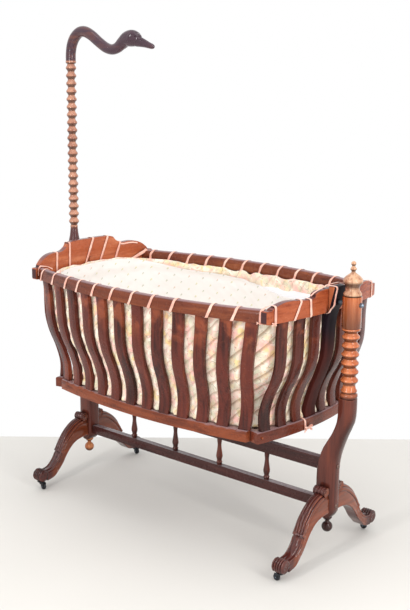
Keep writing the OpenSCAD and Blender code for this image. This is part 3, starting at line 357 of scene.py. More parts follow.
def dress_wood():
    # A painted reflection in grey on the tops of the rails.
    top_reflection = (rgb(158, 132, 136), 0.78)
    dress(wood("slat_wood_sides", "Z", RED_DARK, RED_MIDDLE, RED_LIGHT, planks=(0, SIDE_PITCH, 0.0),
               warm_top=(0.70, 0.80)), "front_slats", "back_slats")
    # The end slats have a darker copy of the slats' wood, a painted shade.
    dress(wood("slat_wood_ends", "Z", rgb(46, 20, 17), rgb(86, 38, 30), rgb(122, 62, 42),
               planks=(1, END_PITCH, 0.5), warm_top=(0.72, 0.82)), "head_slats", "foot_slats")
    # lower paints shade on the undersides of the turned parts.
    turned = {"gloss": 0.12, "shine": (0.26, 0.18), "lower": 0.95}
    dress(hanger_wood(), "head_hanger", "foot_hanger")
    dress(wood("rail_wood", "X", RED_DARK, rgb(112, 54, 34), rgb(148, 82, 50), upper=top_reflection),
          "front_top_rail", "back_top_rail")
    dress(wood("low_rail_wood", "X", rgb(86, 36, 22), rgb(134, 66, 38), rgb(168, 94, 56), upper=top_reflection),
          "front_bottom_rail", "back_bottom_rail")
    dress(wood("end_rail_wood", "Y", rgb(68, 28, 20), rgb(108, 50, 34), rgb(144, 78, 50), upper=top_reflection),
          "head_bottom_rail", "foot_bottom_rail")
    dress(wood("panel_wood", "Y", ORANGE_DARK, ORANGE_MIDDLE, ORANGE_LIGHT, ends=rgb(70, 38, 40),
               upper=(rgb(104, 76, 82), 0.8)), "head_panel", "foot_panel")
    dress(wood("stretcher_wood", "X", DEEP_DARK, DEEP_MIDDLE, DEEP_LIGHT, upper=(rgb(150, 134, 138), 0.8)),
          "upper_stretcher", "lower_stretcher", "bottom_cleats")
    dress(wood("board_wood", "Y", DEEP_DARK, DEEP_MIDDLE, DEEP_LIGHT, gloss=0.5), "bottom_boards")
    dress(wood("post_wood", "Z", RED_DARK, rgb(98, 47, 37), RED_LIGHT, fade=(0.555, 0.60, rgb(232, 104, 24)),
               **turned), "head_post", "foot_post")
    # The finial's pale tones are partly its own and partly a painted highlight.
    dress(wood("finial_wood", "Z", rgb(146, 82, 56), rgb(216, 172, 138), rgb(242, 220, 192), **turned),
          "post_finial")
    dress(wood("pole_wood", "Z", DEEP_DARK, rgb(84, 48, 48), rgb(120, 74, 68),
               fade=(0.985, 1.0, rgb(192, 112, 90)), **turned), "canopy_pole")
    dress(wood("spindle_wood", "Z", DEEP_DARK, rgb(92, 44, 36), RED_LIGHT, **turned), "stretcher_spindles")
    dress(wood("dark_pendant_wood", "Z", rgb(26, 13, 13), rgb(52, 26, 24), rgb(88, 48, 40), **turned),
          "foot_post_pendant")
    dress(wood("light_pendant_wood", "Z", AMBER_DARK, AMBER_MIDDLE, AMBER_LIGHT, **turned), "head_post_pendant",
          "corner_pegs")


def dress_metal():
    iron = metal("caster_iron", rgb(60, 64, 70), rgb(52, 40, 34), 0.35)
    steel = metal("old_steel", rgb(132, 148, 164), rgb(96, 90, 84), 0.3)
    brass = metal("bush_brass", rgb(176, 138, 70), rgb(120, 90, 48), 0.35)
    corners = [f"{end}_{side}" for end in ("head", "foot") for side in ("front", "rear")]
    dress(iron, "caster_plates", *[f"{c}_{part}" for c in corners for part in ("fork", "wheel")])
    dress(steel, "pivot_bolts", "pivot_nuts", "pivot_washers", *[f"{c}_axle" for c in corners])
    dress(metal("browned_steel", rgb(128, 104, 96), rgb(84, 58, 48), 0.35), "stretcher_bolts")
    dress(brass, "pivot_bushes")
    bolts = nodes["pivot_bolts"].data
    bolts.materials.append(nodes["head_panel"].data.materials[0])
    for face in bolts.polygons:
        if abs(face.center.x) < BOLT_HEAD_AT:
            face.material_index = 1


# ---------- softened edges of the carried-over nodes ----------

JOINED = 1e-5   # points nearer to each other than this become one


def edge_group():
    """Joins a mesh's split points again, and shades it smooth except over sharp edges."""
    group = bpy.data.node_groups.new("soft_shading", "GeometryNodeTree")
    group.interface.new_socket("Mesh", in_out="INPUT", socket_type="NodeSocketGeometry")
    group.interface.new_socket("Angle", in_out="INPUT", socket_type="NodeSocketFloat")
    group.interface.new_socket("Mesh", in_out="OUTPUT", socket_type="NodeSocketGeometry")
    start, end = group.nodes.new("NodeGroupInput"), group.nodes.new("NodeGroupOutput")
    merge = group.nodes.new("GeometryNodeMergeByDistance")
    merge.inputs["Distance"].default_value = JOINED
    corner = group.nodes.new("GeometryNodeInputMeshEdgeAngle")
    wide = group.nodes.new("FunctionNodeCompare")
    normals = group.nodes.new("GeometryNodeSetMeshNormal")
    links = group.links
    links.new(start.outputs["Mesh"], merge.inputs["Geometry"])
    links.new(corner.outputs["Unsigned Angle"], wide.inputs["A"])
    links.new(start.outputs["Angle"], wide.inputs["B"])
    links.new(merge.outputs["Geometry"], normals.inputs["Mesh"])
    links.new(wide.outputs["Result"], normals.inputs["Edge Sharpness"])
    normals.inputs["Remove Custom"].default_value = True
    links.new(normals.outputs["Mesh"], end.inputs["Mesh"])
    return group


def shade(obj, group, degrees):
    """Shades something smooth except over edges sharper than that."""
    shading = obj.modifiers.new("shade", "NODES")
    shading.node_group = group
    shading[group.interface.items_tree["Angle"].identifier] = math.radians(degrees)


def soften(group, degrees, width, *names):
    """Rounds the edges of nodes by 'width' and shades them."""
    for name in names:
        obj = nodes[name]
        if width:
            weld = obj.modifiers.new("join", "WELD")
            weld.merge_threshold = JOINED
            bevel = obj.modifiers.new("round", "BEVEL")
            bevel.width = width
            bevel.segments = 3
            bevel.limit_method = "ANGLE"
            bevel.angle_limit = math.radians(40)
        shade(obj, group, degrees)


# ---------- meshes from grids of points ----------

def curve(points, steps):
    """A smooth curve through a few chosen points, with 'steps' pieces between each two."""
    p = np.array(points, float)
    p = np.vstack([p[:1], p, p[-1:]])
    t = np.linspace(0, 1, steps, endpoint=False)[:, None]
    pieces = []
    for a, b, c, d in zip(p, p[1:], p[2:], p[3:]):
        pieces.append(0.5 * (2 * b + (c - a) * t + (2 * a - 5 * b + 4 * c - d) * t ** 2
                             + (3 * b - a - 3 * c + d) * t ** 3))
    return np.vstack(pieces + [p[-1:]])


def ease(value, low, high):
    """0 below 'low', 1 above 'high' and smooth between."""
    t = np.clip((value - low) / (high - low), 0, 1)
    return t * t * (3 - 2 * t)


def unit(v):
    return v / np.maximum(np.linalg.norm(v, axis=-1, keepdims=True), 1e-12)


def grid_faces(grid):
    """The faces between rings of points."""
    rows, cols = grid.shape[:2]
    r, c = np.meshgrid(np.arange(rows - 1), np.arange(cols), indexing="ij")
    right = (c + 1) % cols
    corners = [r * cols + c, r * cols + right, (r + 1) * cols + right, (r + 1) * cols + c]
    return np.stack(corners, -1).reshape(-1, 4).tolist()


def ring_faces(grid, closed=False, base=0):
    """The faces of a row of rings, which is joined end to end where 'closed', or else has flat caps."""
    rows, cols = grid.shape[:2]
    last = (rows - 1) * cols
    faces = grid_faces(grid)
    if closed:
        faces += [[last + k, last + (k + 1) % cols, (k + 1) % cols, k] for k in range(cols)]
    else:
        faces += [list(range(cols))[::-1], [last + k for k in range(cols)]]
    return [[base + k for k in face] for face in faces]


def make_mesh(name, points, faces, cloth=None):
    """A smooth mesh. 'cloth' is a grid of places on the flat cloth, a column wider than the grid of points."""
    mesh = bpy.data.meshes.new(name)
    mesh.from_pydata(points.reshape(-1, 3).tolist(), [], faces)
    if cloth is not None:
        corners = np.stack([cloth[:-1, :-1], cloth[:-1, 1:], cloth[1:, 1:], cloth[1:, :-1]], 2).reshape(-1, 2)
        spare = len(mesh.loops) - len(corners)
        corners = np.vstack([corners, np.zeros((spare, 2))]).astype(np.float32)
        mesh.uv_layers.new(name="cloth").data.foreach_set("uv", corners.ravel())
    mesh.polygons.foreach_set("use_smooth", np.ones(len(mesh.polygons), bool))
    return mesh


def piece(name, mesh, materials, slot, body, *replaced):
    obj = link(bpy.data.objects.new(name, mesh))
    for material in materials:
        mesh.materials.append(material)
    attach(obj, body)
    if replaced:
        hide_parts(*replaced)
    return obj


def join_grids(name, grids, inverted=False):
    """One mesh of several rows of rings: (grid, closed)."""
    points, faces = [], []
    base = 0
    for grid, closed in grids:
        faces += ring_faces(grid, closed, base)
        points.append(grid.reshape(-1, 3))
        base += len(points[-1])
    if inverted:
        faces = [face[::-1] for face in faces]
    return make_mesh(name, np.vstack(points), faces)


def around(count):
    """Evenly spaced angles round a ring."""
    return np.linspace(0, 2 * math.pi, count, endpoint=False)


# ---------- the basket's outlines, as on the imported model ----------

rail_low, rail_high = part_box("front_top_rail")
panel_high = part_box("foot_panel")[1]
LINER_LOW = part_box("quilted_liner")[0].z
RIM = rail_high.z
RAIL_BOTTOM = rail_low.z
FRAME_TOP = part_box("front_bottom_rail")[1].z
HALF_LENGTH = 0.535         # over the corners of the end panels
HALF_WIDTH = panel_high.y   # over the ears of the end panels
SIDE_BOW = 0.082
END_BOW = panel_high.x - HALF_LENGTH
SIDE_FACE = -rail_low.y - SIDE_BOW
RAIL_THICK = 0.030
PANEL_THICK = 0.021
SLAT_WIDTH = 0.040
SIDE_PITCH = 0.944 / 11
END_PITCH = 0.077
SLATS_A_SIDE = 12
SIDE_LEAN = 0.25            # how fast the side slats close up toward the bottom, a metre
# The slats' inside faces: distance from the middle at the rail, inward sweep, bow, and how far the bow grows
SIDE_WALL = (0.265, 0.075, SIDE_BOW, 0.021)
END_WALL = (0.513, 0.086, 0.035, 0.014)
CORNER_POWER = 14.0         # the higher, the sharper the corner between side wall and end wall
GIRTH_HEIGHT = 0.65         # where the cloth's length round the basket is measured
LACE_OFF = 0.006            # from a turn of the lacing to the next slat


def arc_radius(half_chord, rise):
    return (half_chord ** 2 + rise ** 2) / (2 * rise)


SIDE_RADIUS = arc_radius(HALF_LENGTH, SIDE_BOW)
END_RADIUS = arc_radius(HALF_WIDTH, END_BOW)
END_CENTRE = HALF_LENGTH + END_BOW - END_RADIUS

# A slat's inward sweep: share of its height, share of the sweep
OGEE = curve([[-0.04, 0.93], [0, 0.95], [0.11, 1], [0.2, 0.93], [0.33, 0.68], [0.46, 0.33],
              [0.6, 0.11], [0.72, 0.06], [0.87, 0.05], [1, 0], [1.04, 0]], 6)


def swept(z):
    return np.interp((z - FRAME_TOP) / (RAIL_BOTTOM - FRAME_TOP), OGEE[:, 0], OGEE[:, 1])


def reach(share, face, bow, half_chord):
    """How far it is from the middle to an arc that bows outward, in a direction with that share square to it."""
    radius = arc_radius(half_chord, bow)
    centre = face + bow - radius
    along = share * centre
    return along + np.sqrt(along ** 2 - centre ** 2 + radius ** 2)


def walls(angle, z, inset):
    """The weights of the side walls and the end walls, which fall off with their distance from the middle.

    The walls are the slats' inside faces, drawn in by 'inset'.
    """
    sweep = swept(z)
    weights = []
    for share, wall, half_chord in ((np.sin(angle), SIDE_WALL, HALF_LENGTH), (np.cos(angle), END_WALL, HALF_WIDTH)):
        face, inward, bow, growth = wall
        far = reach(np.abs(share), face - inward * sweep - inset, bow + growth * sweep, half_chord)
        weights.append(far ** -CORNER_POWER)
    return weights


def inside(angle, z, inset):
    """Points on the walls with rounded corners between them."""
    side, end = walls(angle, z, inset)
    far = (side + end) ** (-1 / CORNER_POWER)
    return np.stack([far * np.cos(angle), far * np.sin(angle), z + 0 * far], -1)


def even_angles(count):
    """Directions about the middle that lie equally far apart along the basket's wall, and that distance."""
    fine = np.linspace(0, 2 * math.pi, 4001)
    steps = np.linalg.norm(np.diff(inside(fine, np.full_like(fine, GIRTH_HEIGHT), 0.0), axis=0), axis=1)
    along = np.concatenate([[0], np.cumsum(steps)])
    return np.interp(np.linspace(0, along[-1], count + 1), along, fine), along[-1] / count


def side_y(x):
    return SIDE_FACE + SIDE_BOW - SIDE_RADIUS + math.sqrt(SIDE_RADIUS ** 2 - x ** 2)


def lace_x(gap):
    """Where a turn of the side lacing starts: in a gap between two slats, beside the next slat."""
    return (gap + 1 - (SLATS_A_SIDE - 1) / 2) * SIDE_PITCH - SLAT_WIDTH / 2 - LACE_OFF


FRONT_GAPS = [-1, 0, 1, 1.84, 2.86, 3.93, 5, 6, 7.03, 8.6, 9.6]
BACK_GAPS = list(range(-1, SLATS_A_SIDE - 1))
# Loops round the end panels, as places across the cradle: over the top edge and under the panel
HEAD_LOOPS = [(-0.186, -0.189), (-0.114, -0.116), (0.014, -0.036), (0.090, 0.041), (0.154, 0.121)]
FOOT_LOOPS = [(-0.164, -0.190), (-0.120, -0.116)]
HANGER_LOOP_Y = -0.036


def pull_angles():
    """The directions in which a ribbon pulls the rim of the bedding up."""
    places = [(lace_x(g) + 0.045, -0.34) for g in FRONT_GAPS] + [(-lace_x(g) - 0.045, 0.34) for g in BACK_GAPS]
    places += [(-0.545, low) for _, low in HEAD_LOOPS] + [(0.545, low) for _, low in FOOT_LOOPS]
    places += [(0.545, HANGER_LOOP_Y), (0.535, 0.20)]
    return np.sort(np.array([math.atan2(y, x) % (2 * math.pi) for x, y in places]))


def bump_at(angle, middle, spread, power=4):
    """1 in the direction 'middle' and falling off to both sides, with 'middle' and 'spread' in degrees."""
    off = (np.degrees(angle) - middle + 180) % 360 - 180
    return np.exp(-np.abs(off / spread) ** power)


HEAD_RISE = 0.022
HEAD_AT = 180            # the head end's direction, in degrees
SLACK_TURNS = (94, 84)   # directions of two turns at the rear that let the rim hang loose


def rim_heights(angle):
    """The bag's rim: up at each ribbon and sagging between, higher against the head panel."""
    pulls = pull_angles()
    pulls = np.concatenate([[pulls[-1] - 2 * math.pi], pulls, [pulls[0] + 2 * math.pi]])
    turned = angle % (2 * math.pi)
    after = np.searchsorted(pulls, turned, side="right")
    low, high = pulls[after - 1], pulls[np.minimum(after, len(pulls) - 1)]
    share = (turned - low) / (high - low)
    width = (high - low) * 0.42
    uneven = 0.55 + 0.45 * np.sin(after * 2.3)
    sag = 4 * share * (1 - share) * np.minimum(width * 0.10, 0.009) * uneven
    slack = 0.010 * (bump_at(angle, SLACK_TURNS[0], 2.6, 2) + 0.5 * bump_at(angle, SLACK_TURNS[1], 2.6, 2))
    return RAIL_BOTTOM + 0.006 + HEAD_RISE * bump_at(angle, HEAD_AT, 31) - sag - slack


def ripple(u, v, seed, scale):
    """A smooth uneven wave between about -1 and 1, the same on every run."""
    random = np.random.default_rng(seed)
    waves = 7
    total = 0
    for _ in range(waves):
        heading = random.uniform(0, 2 * math.pi)
        stretch = random.uniform(0.6, 1.7)
        phase = random.uniform(0, 6.28)
        wave = (u * math.cos(heading) + v * math.sin(heading)) * 2 * math.pi / (scale * stretch)
        total = total + np.sin(wave + phase)
    return total / math.sqrt(waves * 2)


def outward(grid):
    """Directions square to a wrapped grid of points, away from its inside."""
    across = np.roll(grid, -1, 1) - np.roll(grid, 1, 1)
    up = np.gradient(grid, axis=0)
    return unit(np.cross(across, up))


# ---------- bedding ----------

QUILT_PITCH = 0.038      # between two rows of quilting
QUILT_RUN, QUILT_RISE = 0.68, 0.73   # the direction square to the rows, along the cloth and up it
BAND = 0.023             # height of the quilted band above the lining's hem
PRINT_DEPTH = 0.042      # how far the print reaches down inside the rim; below it the bag's inner wall is plain white, a painted highlight of the brightly lit wall
BAG_THICK = 0.007
BAG_OFF = 0.004          # from the slats to the bag
FLOOR_CORNER = 0.003     # the bag's rounding where its walls meet its floor
CLOTH_STRETCH = 1.06     # the cloth's height along the slats' sweep, for each metre upward
LINING_OFF = 0.0046      # from the bag to the lining
RIM_LEAN = 0.011         # how far the rim is drawn in, to pass inside the top rails
SKIRT = 0.0022           # how far the bag's outer edge hangs below its floor, onto the bottom rails


def between_slats(angle, points):
    """0 behind a slat, 1 in the middle of a gap."""
    x, y, z = points[..., 0], points[..., 1], points[..., 2]
    last = SLATS_A_SIDE / 2
    slat = x / (SIDE_PITCH * (1 - SIDE_LEAN * (RAIL_BOTTOM - z)))
    side = np.abs(slat - np.clip(np.floor(slat), -last, last - 1) - 0.5)
    end = np.abs(y / END_PITCH - np.clip(np.round(y / END_PITCH), -3, 3))
    to_side, to_end = walls(angle, z, 0.0)
    share = to_side / (to_side + to_end)
    return share * ease(side, 0.23, 0.5) + (1 - share) * ease(end, 0.26, 0.5)


def quilting(u, v):
    """The pillows of diagonal quilting, 0 in the seams, which rise toward the foot on the camera's side."""
    return np.abs(np.sin(math.pi * (u * QUILT_RUN - v * QUILT_RISE) / QUILT_PITCH)) ** 0.5


def cloth_places(heights, step):
    """Where a wrapped grid's points lie on the flat cloth, with the first column once more at the end."""
    heights = np.hstack([heights, heights[:, :1]])
    along = np.arange(heights.shape[1]) * step
    return np.stack([np.broadcast_to(along, heights.shape), heights], -1)


def make_quilt_bag(print_material, lit_white):
    columns = 760
    angle, step = even_angles(columns)
    angle = angle[:-1]
    top = rim_heights(angle)
    low = LINER_LOW
    u = np.arange(columns) * step
    rise = np.linspace(0, 1, 88)[:, None] ** 0.92

    def wall(bottom, share, thick):
        z = bottom + (top - bottom) * share
        corner = FLOOR_CORNER * (1 - np.sqrt(1 - np.clip(1 - (z - bottom) / FLOOR_CORNER, 0, 1) ** 2))
        lean = RIM_LEAN * ease(z, 0.800, 0.834)
        return z, inside(angle, z, BAG_OFF + thick + lean + corner)

    z, outer = wall(low - SKIRT, rise, 0)
    to_top = top - z
    v = (z - low) * CLOTH_STRETCH
    free = ease(z, low - 0.004, low + 0.004) * ease(to_top, 0, 0.03)
    gap = between_slats(angle, outer)
    plump = 0.0060 + 0.006 * (bump_at(angle, 326, 9, 2) + bump_at(angle, 34, 9, 2))
    plump = plump + 0.003 * ease(z, 0.56, 0.48)
    pleats = 0.0013 * np.sin(2 * math.pi * u / 0.023 + 2 * np.sin(2 * math.pi * u / 0.13))
    relief = free * (0.0070 * quilting(u, v) * (0.40 + 0.60 * gap)
                     + plump * gap * (1 + 0.35 * ripple(u, v, 3, 0.09)))
    relief = relief + 0.0010 * free * ripple(u, v, 5, 0.035) + pleats * ease(to_top, 0.06, 0.0)
    relief = relief + 0.0045 * ease(z, low + 0.022, low)
    outer = outer + outward(outer) * (relief - 0.0028)[..., None]

    z_in, inner = wall(low + BAG_THICK, np.linspace(1, 0, 34)[:, None], BAG_THICK)
    v_in = v[-1:] + (top - z_in)
    stuffing = 0.004 * bump_at(angle, 62, 26, 2) * ease(top - z_in, PRINT_DEPTH, PRINT_DEPTH + 0.012)
    stuffing = stuffing * ease(z_in, 0.70, 0.76)
    crease = 0.0016 * quilting(u, v_in) * ease(top - z_in, 0, 0.02)
    inner = inner + outward(inner) * (crease - stuffing)[..., None]
    lip = (outer[-1:] + inner[:1]) / 2 + np.array([0, 0, 0.0022])

    def floor_rings(ring, shares, height):
        return np.stack([ring * np.array([s, s, 0]) + np.array([0, 0, height]) for s in shares])

    grid = np.concatenate([floor_rings(outer[0], [0.02, 0.5, 0.95], low), outer, lip, inner,
                           floor_rings(inner[-1], [0.93, 0.5, 0.02], low + BAG_THICK)])
    heights = np.concatenate([
        np.full((3, columns), -0.05), v, v[-1:] + 0.004, v_in + 0.008, np.full((3, columns), 0.8)])
    mesh = make_mesh("quilt_bag", grid, ring_faces(grid), cloth_places(heights, step))
    bag = piece("quilt_bag", mesh, [print_material, lit_white], "quilt_floral", "cradle", "quilted_liner")
    # The inner wall below the print is plain white, a painted highlight of the brightly lit wall.
    print_rings = int(np.argmin(np.abs(top.mean() - z_in.mean(axis=1) - PRINT_DEPTH)))
    index = np.zeros(len(mesh.polygons), np.int32)
    index[(3 + len(outer) + 1 + print_rings) * columns:] = 1
    mesh.polygons.foreach_set("material_index", index)


def hem_heights(angle):
    """The lining's hem: a band below the rim, up to it at the head, and sagging at the rear foot corner."""
    band = BAND * (1 - 0.90 * bump_at(angle, HEAD_AT, 33))
    smooth_rim = RAIL_BOTTOM + 0.004 + HEAD_RISE * bump_at(angle, HEAD_AT, 31)
    return rim_heights(angle) * 0.35 + smooth_rim * 0.65 - band - 0.044 * bump_at(angle, 60, 30, 2.6)


LINING_BOTTOM = 0.500


def make_lining(material):
    columns = 600
    angle, step = even_angles(columns)
    angle = angle[:-1]
    top = hem_heights(angle)
    u = np.arange(columns) * step
    share = np.linspace(0, 1, 56)[:, None]
    z = LINING_BOTTOM + (top - LINING_BOTTOM) * share
    v = (z - LINING_BOTTOM) * CLOTH_STRETCH
    points = inside(angle, z, BAG_OFF + BAG_THICK + LINING_OFF + RIM_LEAN * ease(z, 0.795, 0.832))
    slack = 0.0022 * ripple(u, v * 0.35, 11, 0.12) + 0.0010 * ripple(u, v, 12, 0.05)
    hem_roll = 0.0014 * ease(top - z, 0.007, 0.004)
    sag = 0.008 * bump_at(angle, 50, 22, 2) * ease(top - z, 0.10, 0.0)
    move = np.minimum(slack, 0.0022) - sag - hem_roll
    points = points + outward(points) * move[..., None]
    mesh = make_mesh("lining_sheet", points, grid_faces(points), cloth_places(v, step))
    lining = piece("lining_sheet", mesh, [material], "lining_cotton", "cradle", "cotton_lining")
    thick = lining.modifiers.new("thickness", "SOLIDIFY")
    thick.thickness = 0.0012
    thick.offset = 0


def tube(name, path, radius, material, slot, body, sides=8):
    """A closed round cord along a closed path."""
    along = unit(np.roll(path, -1, 0) - np.roll(path, 1, 0))
    level = unit(np.cross(along, np.array([0, 0, 1.0])))
    up = np.cross(level, along)
    turn = around(sides)[:, None]
    grid = path[:, None] + radius * (np.cos(turn) * level[:, None] + np.sin(turn) * up[:, None])
    return piece(name, make_mesh(name, grid, ring_faces(grid, closed=True)), [material], slot, body)


def blown_up(obj, voxel, frames, cap):
    """Swells a closed mesh like a stuffed cover, by a cloth simulation with pressure, and applies it."""
    remesh = obj.modifiers.new("voxels", "REMESH")
    remesh.mode = "VOXEL"
    remesh.voxel_size = voxel
    bpy.context.view_layer.objects.active = obj
    bpy.ops.object.modifier_apply(modifier="voxels")
    count = len(obj.data.vertices)
    before = np.empty(count * 3)
    obj.data.vertices.foreach_get("co", before)
    cloth = obj.modifiers.new("stuffing", "CLOTH")
    cloth.settings.use_pressure = True
    cloth.settings.uniform_pressure_force = 4
    cloth.settings.effector_weights.gravity = 0
    cloth.point_cache.frame_start = 1
    cloth.point_cache.frame_end = frames
    for frame_number in range(1, frames + 1):
        bpy.context.scene.frame_set(frame_number)
    swollen = obj.evaluated_get(bpy.context.evaluated_depsgraph_get())
    after = np.empty(count * 3)
    swollen.to_mesh().vertices.foreach_get("co", after)
    swollen.to_mesh_clear()
    obj.modifiers.remove(cloth)
    bpy.context.scene.frame_set(1)
    move = (after - before).reshape(-1, 3)
    length = np.linalg.norm(move, axis=1, keepdims=True)
    move = move * np.minimum(1, cap / np.maximum(length, 1e-9))
    obj.data.vertices.foreach_set("co", (before.reshape(-1, 3) + move).ravel())
    obj.data.update()


def make_mattress(material, piping):
    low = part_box("mattress")[0].z
    angle = even_angles(300)[0][:-1]
    inset = 0.020
    # Height above the mattress's underside, and how far the edge is drawn in
    rings = [(0.000, 0.016), (0.004, 0.008), (0.012, 0.004), (0.030, 0.003), (0.044, 0.005), (0.050, 0.010)]
    grid = [inside(angle, np.full(300, low + up), inset + 0.004 + draw) for up, draw in rings]
    rim = grid[-1]
    for share, up in ((0.9, 0.054), (0.7, 0.058), (0.45, 0.060), (0.2, 0.061), (0.02, 0.061)):
        ring = rim * np.array([share, share, 0])
        ring[:, 2] = low + up
        grid.append(ring)
    bottom = grid[0] * np.array([0.02, 0.02, 1])
    grid = np.stack([bottom] + grid)
    mesh = make_mesh("mattress_pad", grid, ring_faces(grid))
    pad = piece("mattress_pad", mesh, [material], "mattress_ticking", "cradle", "mattress")
    blown_up(pad, 0.008, 16, 0.004)
    smoother = pad.modifiers.new("finer", "SUBSURF")
    smoother.levels = smoother.render_levels = 1
    pad.data.polygons.foreach_set("use_smooth", np.ones(len(pad.data.polygons), bool))
    for name, up, draw in (("mattress_top_piping", 0.049, 0.009), ("mattress_bottom_piping", 0.006, 0.007)):
        edge = inside(angle, np.full(300, low + up), inset + draw)
        tube(name, edge, 0.0026, piping, "mattress_ticking", "cradle")


# ---------- ribbons ----------

RIBBON_WIDTH = 0.0095
RIBBON_THICK = 0.0009
LIFT = 0.0018
UNDER_RAIL = RAIL_BOTTOM - LIFT - 0.0007


def evenly(values, spacing, closed):
    """Stops of [place, facing] along a path, again but equally far apart and with eased corners."""
    stops = np.array(values, float)
    if closed:
        stops = np.vstack([stops, stops[:1]])
    lengths = np.linalg.norm(np.diff(stops[:, :3], axis=0), axis=1)
    along = np.concatenate([[0], np.cumsum(lengths)])
    count = max(int(along[-1] / spacing), 6)
    at = np.linspace(0, along[-1], count + 1)
    path = np.stack([np.interp(at, along, stops[:, k]) for k in range(6)], -1)
    if closed:
        path = path[:-1]
    for _ in range(3):
        before, after = np.roll(path, 1, 0), np.roll(path, -1, 0)
        eased = (before + 2 * path + after) / 4
        if not closed:
            eased[0], eased[-1] = path[0], path[-1]
        path = eased
    return path


def ribbon_grid(stops, closed, width, spacing=0.0025, crumple=0.0004, seed=1):
    """Rings of points round a flat ribbon. Each stop is its place and the way its face looks."""
    path = evenly([list(p) + list(f) for p, f in stops], spacing, closed)
    places, faces = path[:, :3], path[:, 3:]
    if closed:
        along = unit(np.roll(places, -1, 0) - np.roll(places, 1, 0))
    else:
        along = unit(np.gradient(places, axis=0))
    across = unit(np.cross(along, faces))
    face = np.cross(across, along)
    run = np.arange(len(places)) * spacing
    breadth = width * (1 + 0.07 * np.sin(run / 0.017 + seed) + 0.05 * np.sin(run / 0.006 + 2 * seed))
    lift = crumple * ripple(run, run * 0, seed, 0.02)
    section = [(-0.5, 0.1), (-0.25, 0.55), (0, 0.62), (0.25, 0.55), (0.5, 0.1), (0.48, -0.3), (0, -0.12),
               (-0.48, -0.3)]
    points = [places + across * (breadth * w)[:, None] + face * (RIBBON_THICK * h + lift * abs(w) * 2)[:, None]
              for w, h in section]
    return np.stack(points, 1)


def by_side(x, u, z, out, up):
    """A stop near the front rail, u out from its outer face, facing out and up by the given shares."""
    spoke = unit(np.array([x, -math.sqrt(SIDE_RADIUS ** 2 - x ** 2), 0]))
    centre = np.array([0, SIDE_RADIUS - SIDE_FACE - SIDE_BOW, 0])
    return centre + spoke * (SIDE_RADIUS + u) + np.array([0, 0, z]), spoke * out + np.array([0, 0, up])


def by_end(y, u, z, out, up):
    """A stop near the foot panel in the same way."""
    spoke = unit(np.array([math.sqrt(END_RADIUS ** 2 - y ** 2), y, 0]))
    return np.array([END_CENTRE, 0, z]) + spoke * (END_RADIUS + u), spoke * out + np.array([0, 0, up])


def flipped(stops, x_sign=1):
    """The same stops on the other side of the cradle, and with 'x_sign' -1 at its other end too."""
    flip = np.array([x_sign, -1, 1])
    return [(place * flip, facing * flip) for place, facing in stops]


def rail_wrap(over):
    """One turn round a top rail: offset out, height, looks out, looks up, and the share of the turn done.

    'over' is the share at which the ribbon has come over the rail.
    """
    centre = RIM - RAIL_THICK / 2
    radius = RAIL_THICK / 2 + LIFT
    outer = [(0, UNDER_RAIL, 0.3, -1), (LIFT, RAIL_BOTTOM + 0.0015, 1, -0.3), (LIFT, RAIL_BOTTOM + 0.010, 1, 0),
             (LIFT, centre, 1, 0)]
    for degrees in range(20, 180, 20):
        out, up = math.cos(math.radians(degrees)), math.sin(math.radians(degrees))
        outer.append((-RAIL_THICK / 2 + radius * out, centre + radius * up, out, up))
    back = -RAIL_THICK - LIFT
    inner = [(back, centre, -1, 0), (back, RAIL_BOTTOM + 0.006, -1, 0),
             (back - 0.001, RAIL_BOTTOM - 0.004, -1, -0.4), (-RAIL_THICK + 0.002, UNDER_RAIL - 0.003, 0, -1)]
    shares = [0, 0.07, 0.20, 0.50] + [0.50 + 0.05 * k for k in range(1, len(outer) - 3)]
    steps = [(stop, over * share) for stop, share in zip(outer, shares)]
    steps += [(stop, over + (0.88 - over) * k / len(inner)) for k, stop in enumerate(inner)]
    return steps


def side_lacing(gaps, over):
    """A spiral of ribbon round the front rail. Any slack turn is taken up on the rail's inner face."""
    stops = []
    for i, gap in enumerate(gaps):
        turn = (gaps[i + 1] - gap) if i + 1 < len(gaps) else 0.6
        for (u, z, out, up), share in rail_wrap(over):
            if share > over:
                share = over + (share - over) * (turn - over) / (1 - over)
            x = lace_x(gap) + min(share, turn) * SIDE_PITCH
            stops.append(by_side(x, u, z, out, up))
    return stops


# An end panel's top edge: distance from the middle, height
FOOT_EDGE = np.vstack([
    curve([[0, 0.915], [0.04, 0.915], [0.075, 0.913], [0.093, 0.907]], 4),
    curve([[0.098, 0.895], [0.125, 0.893], [0.165, 0.897], [0.205, 0.901], [0.236, 0.899], [0.262, 0.892],
           [0.282, 0.884]], 4)])
HEAD_EDGE = np.vstack([
    curve([[0, 0.953], [0.06, 0.953], [0.1, 0.951], [0.118, 0.946]], 4),
    curve([[0.128, 0.934], [0.146, 0.924], [0.17, 0.92], [0.205, 0.922], [0.236, 0.917], [0.262, 0.905],
           [0.282, 0.888]], 4)])
HANGER_HALF = 0.028    # half the width of a hanger's head
HANGER_TOP = 0.922
HANGER_FACE = 0.592    # its outer face, from the middle of the cradle


def edge_height(edge, y):
    beside = np.abs(y) + np.array([-0.004, 0, 0.004])
    return float(np.interp(beside, edge[:, 0], edge[:, 1]).max())


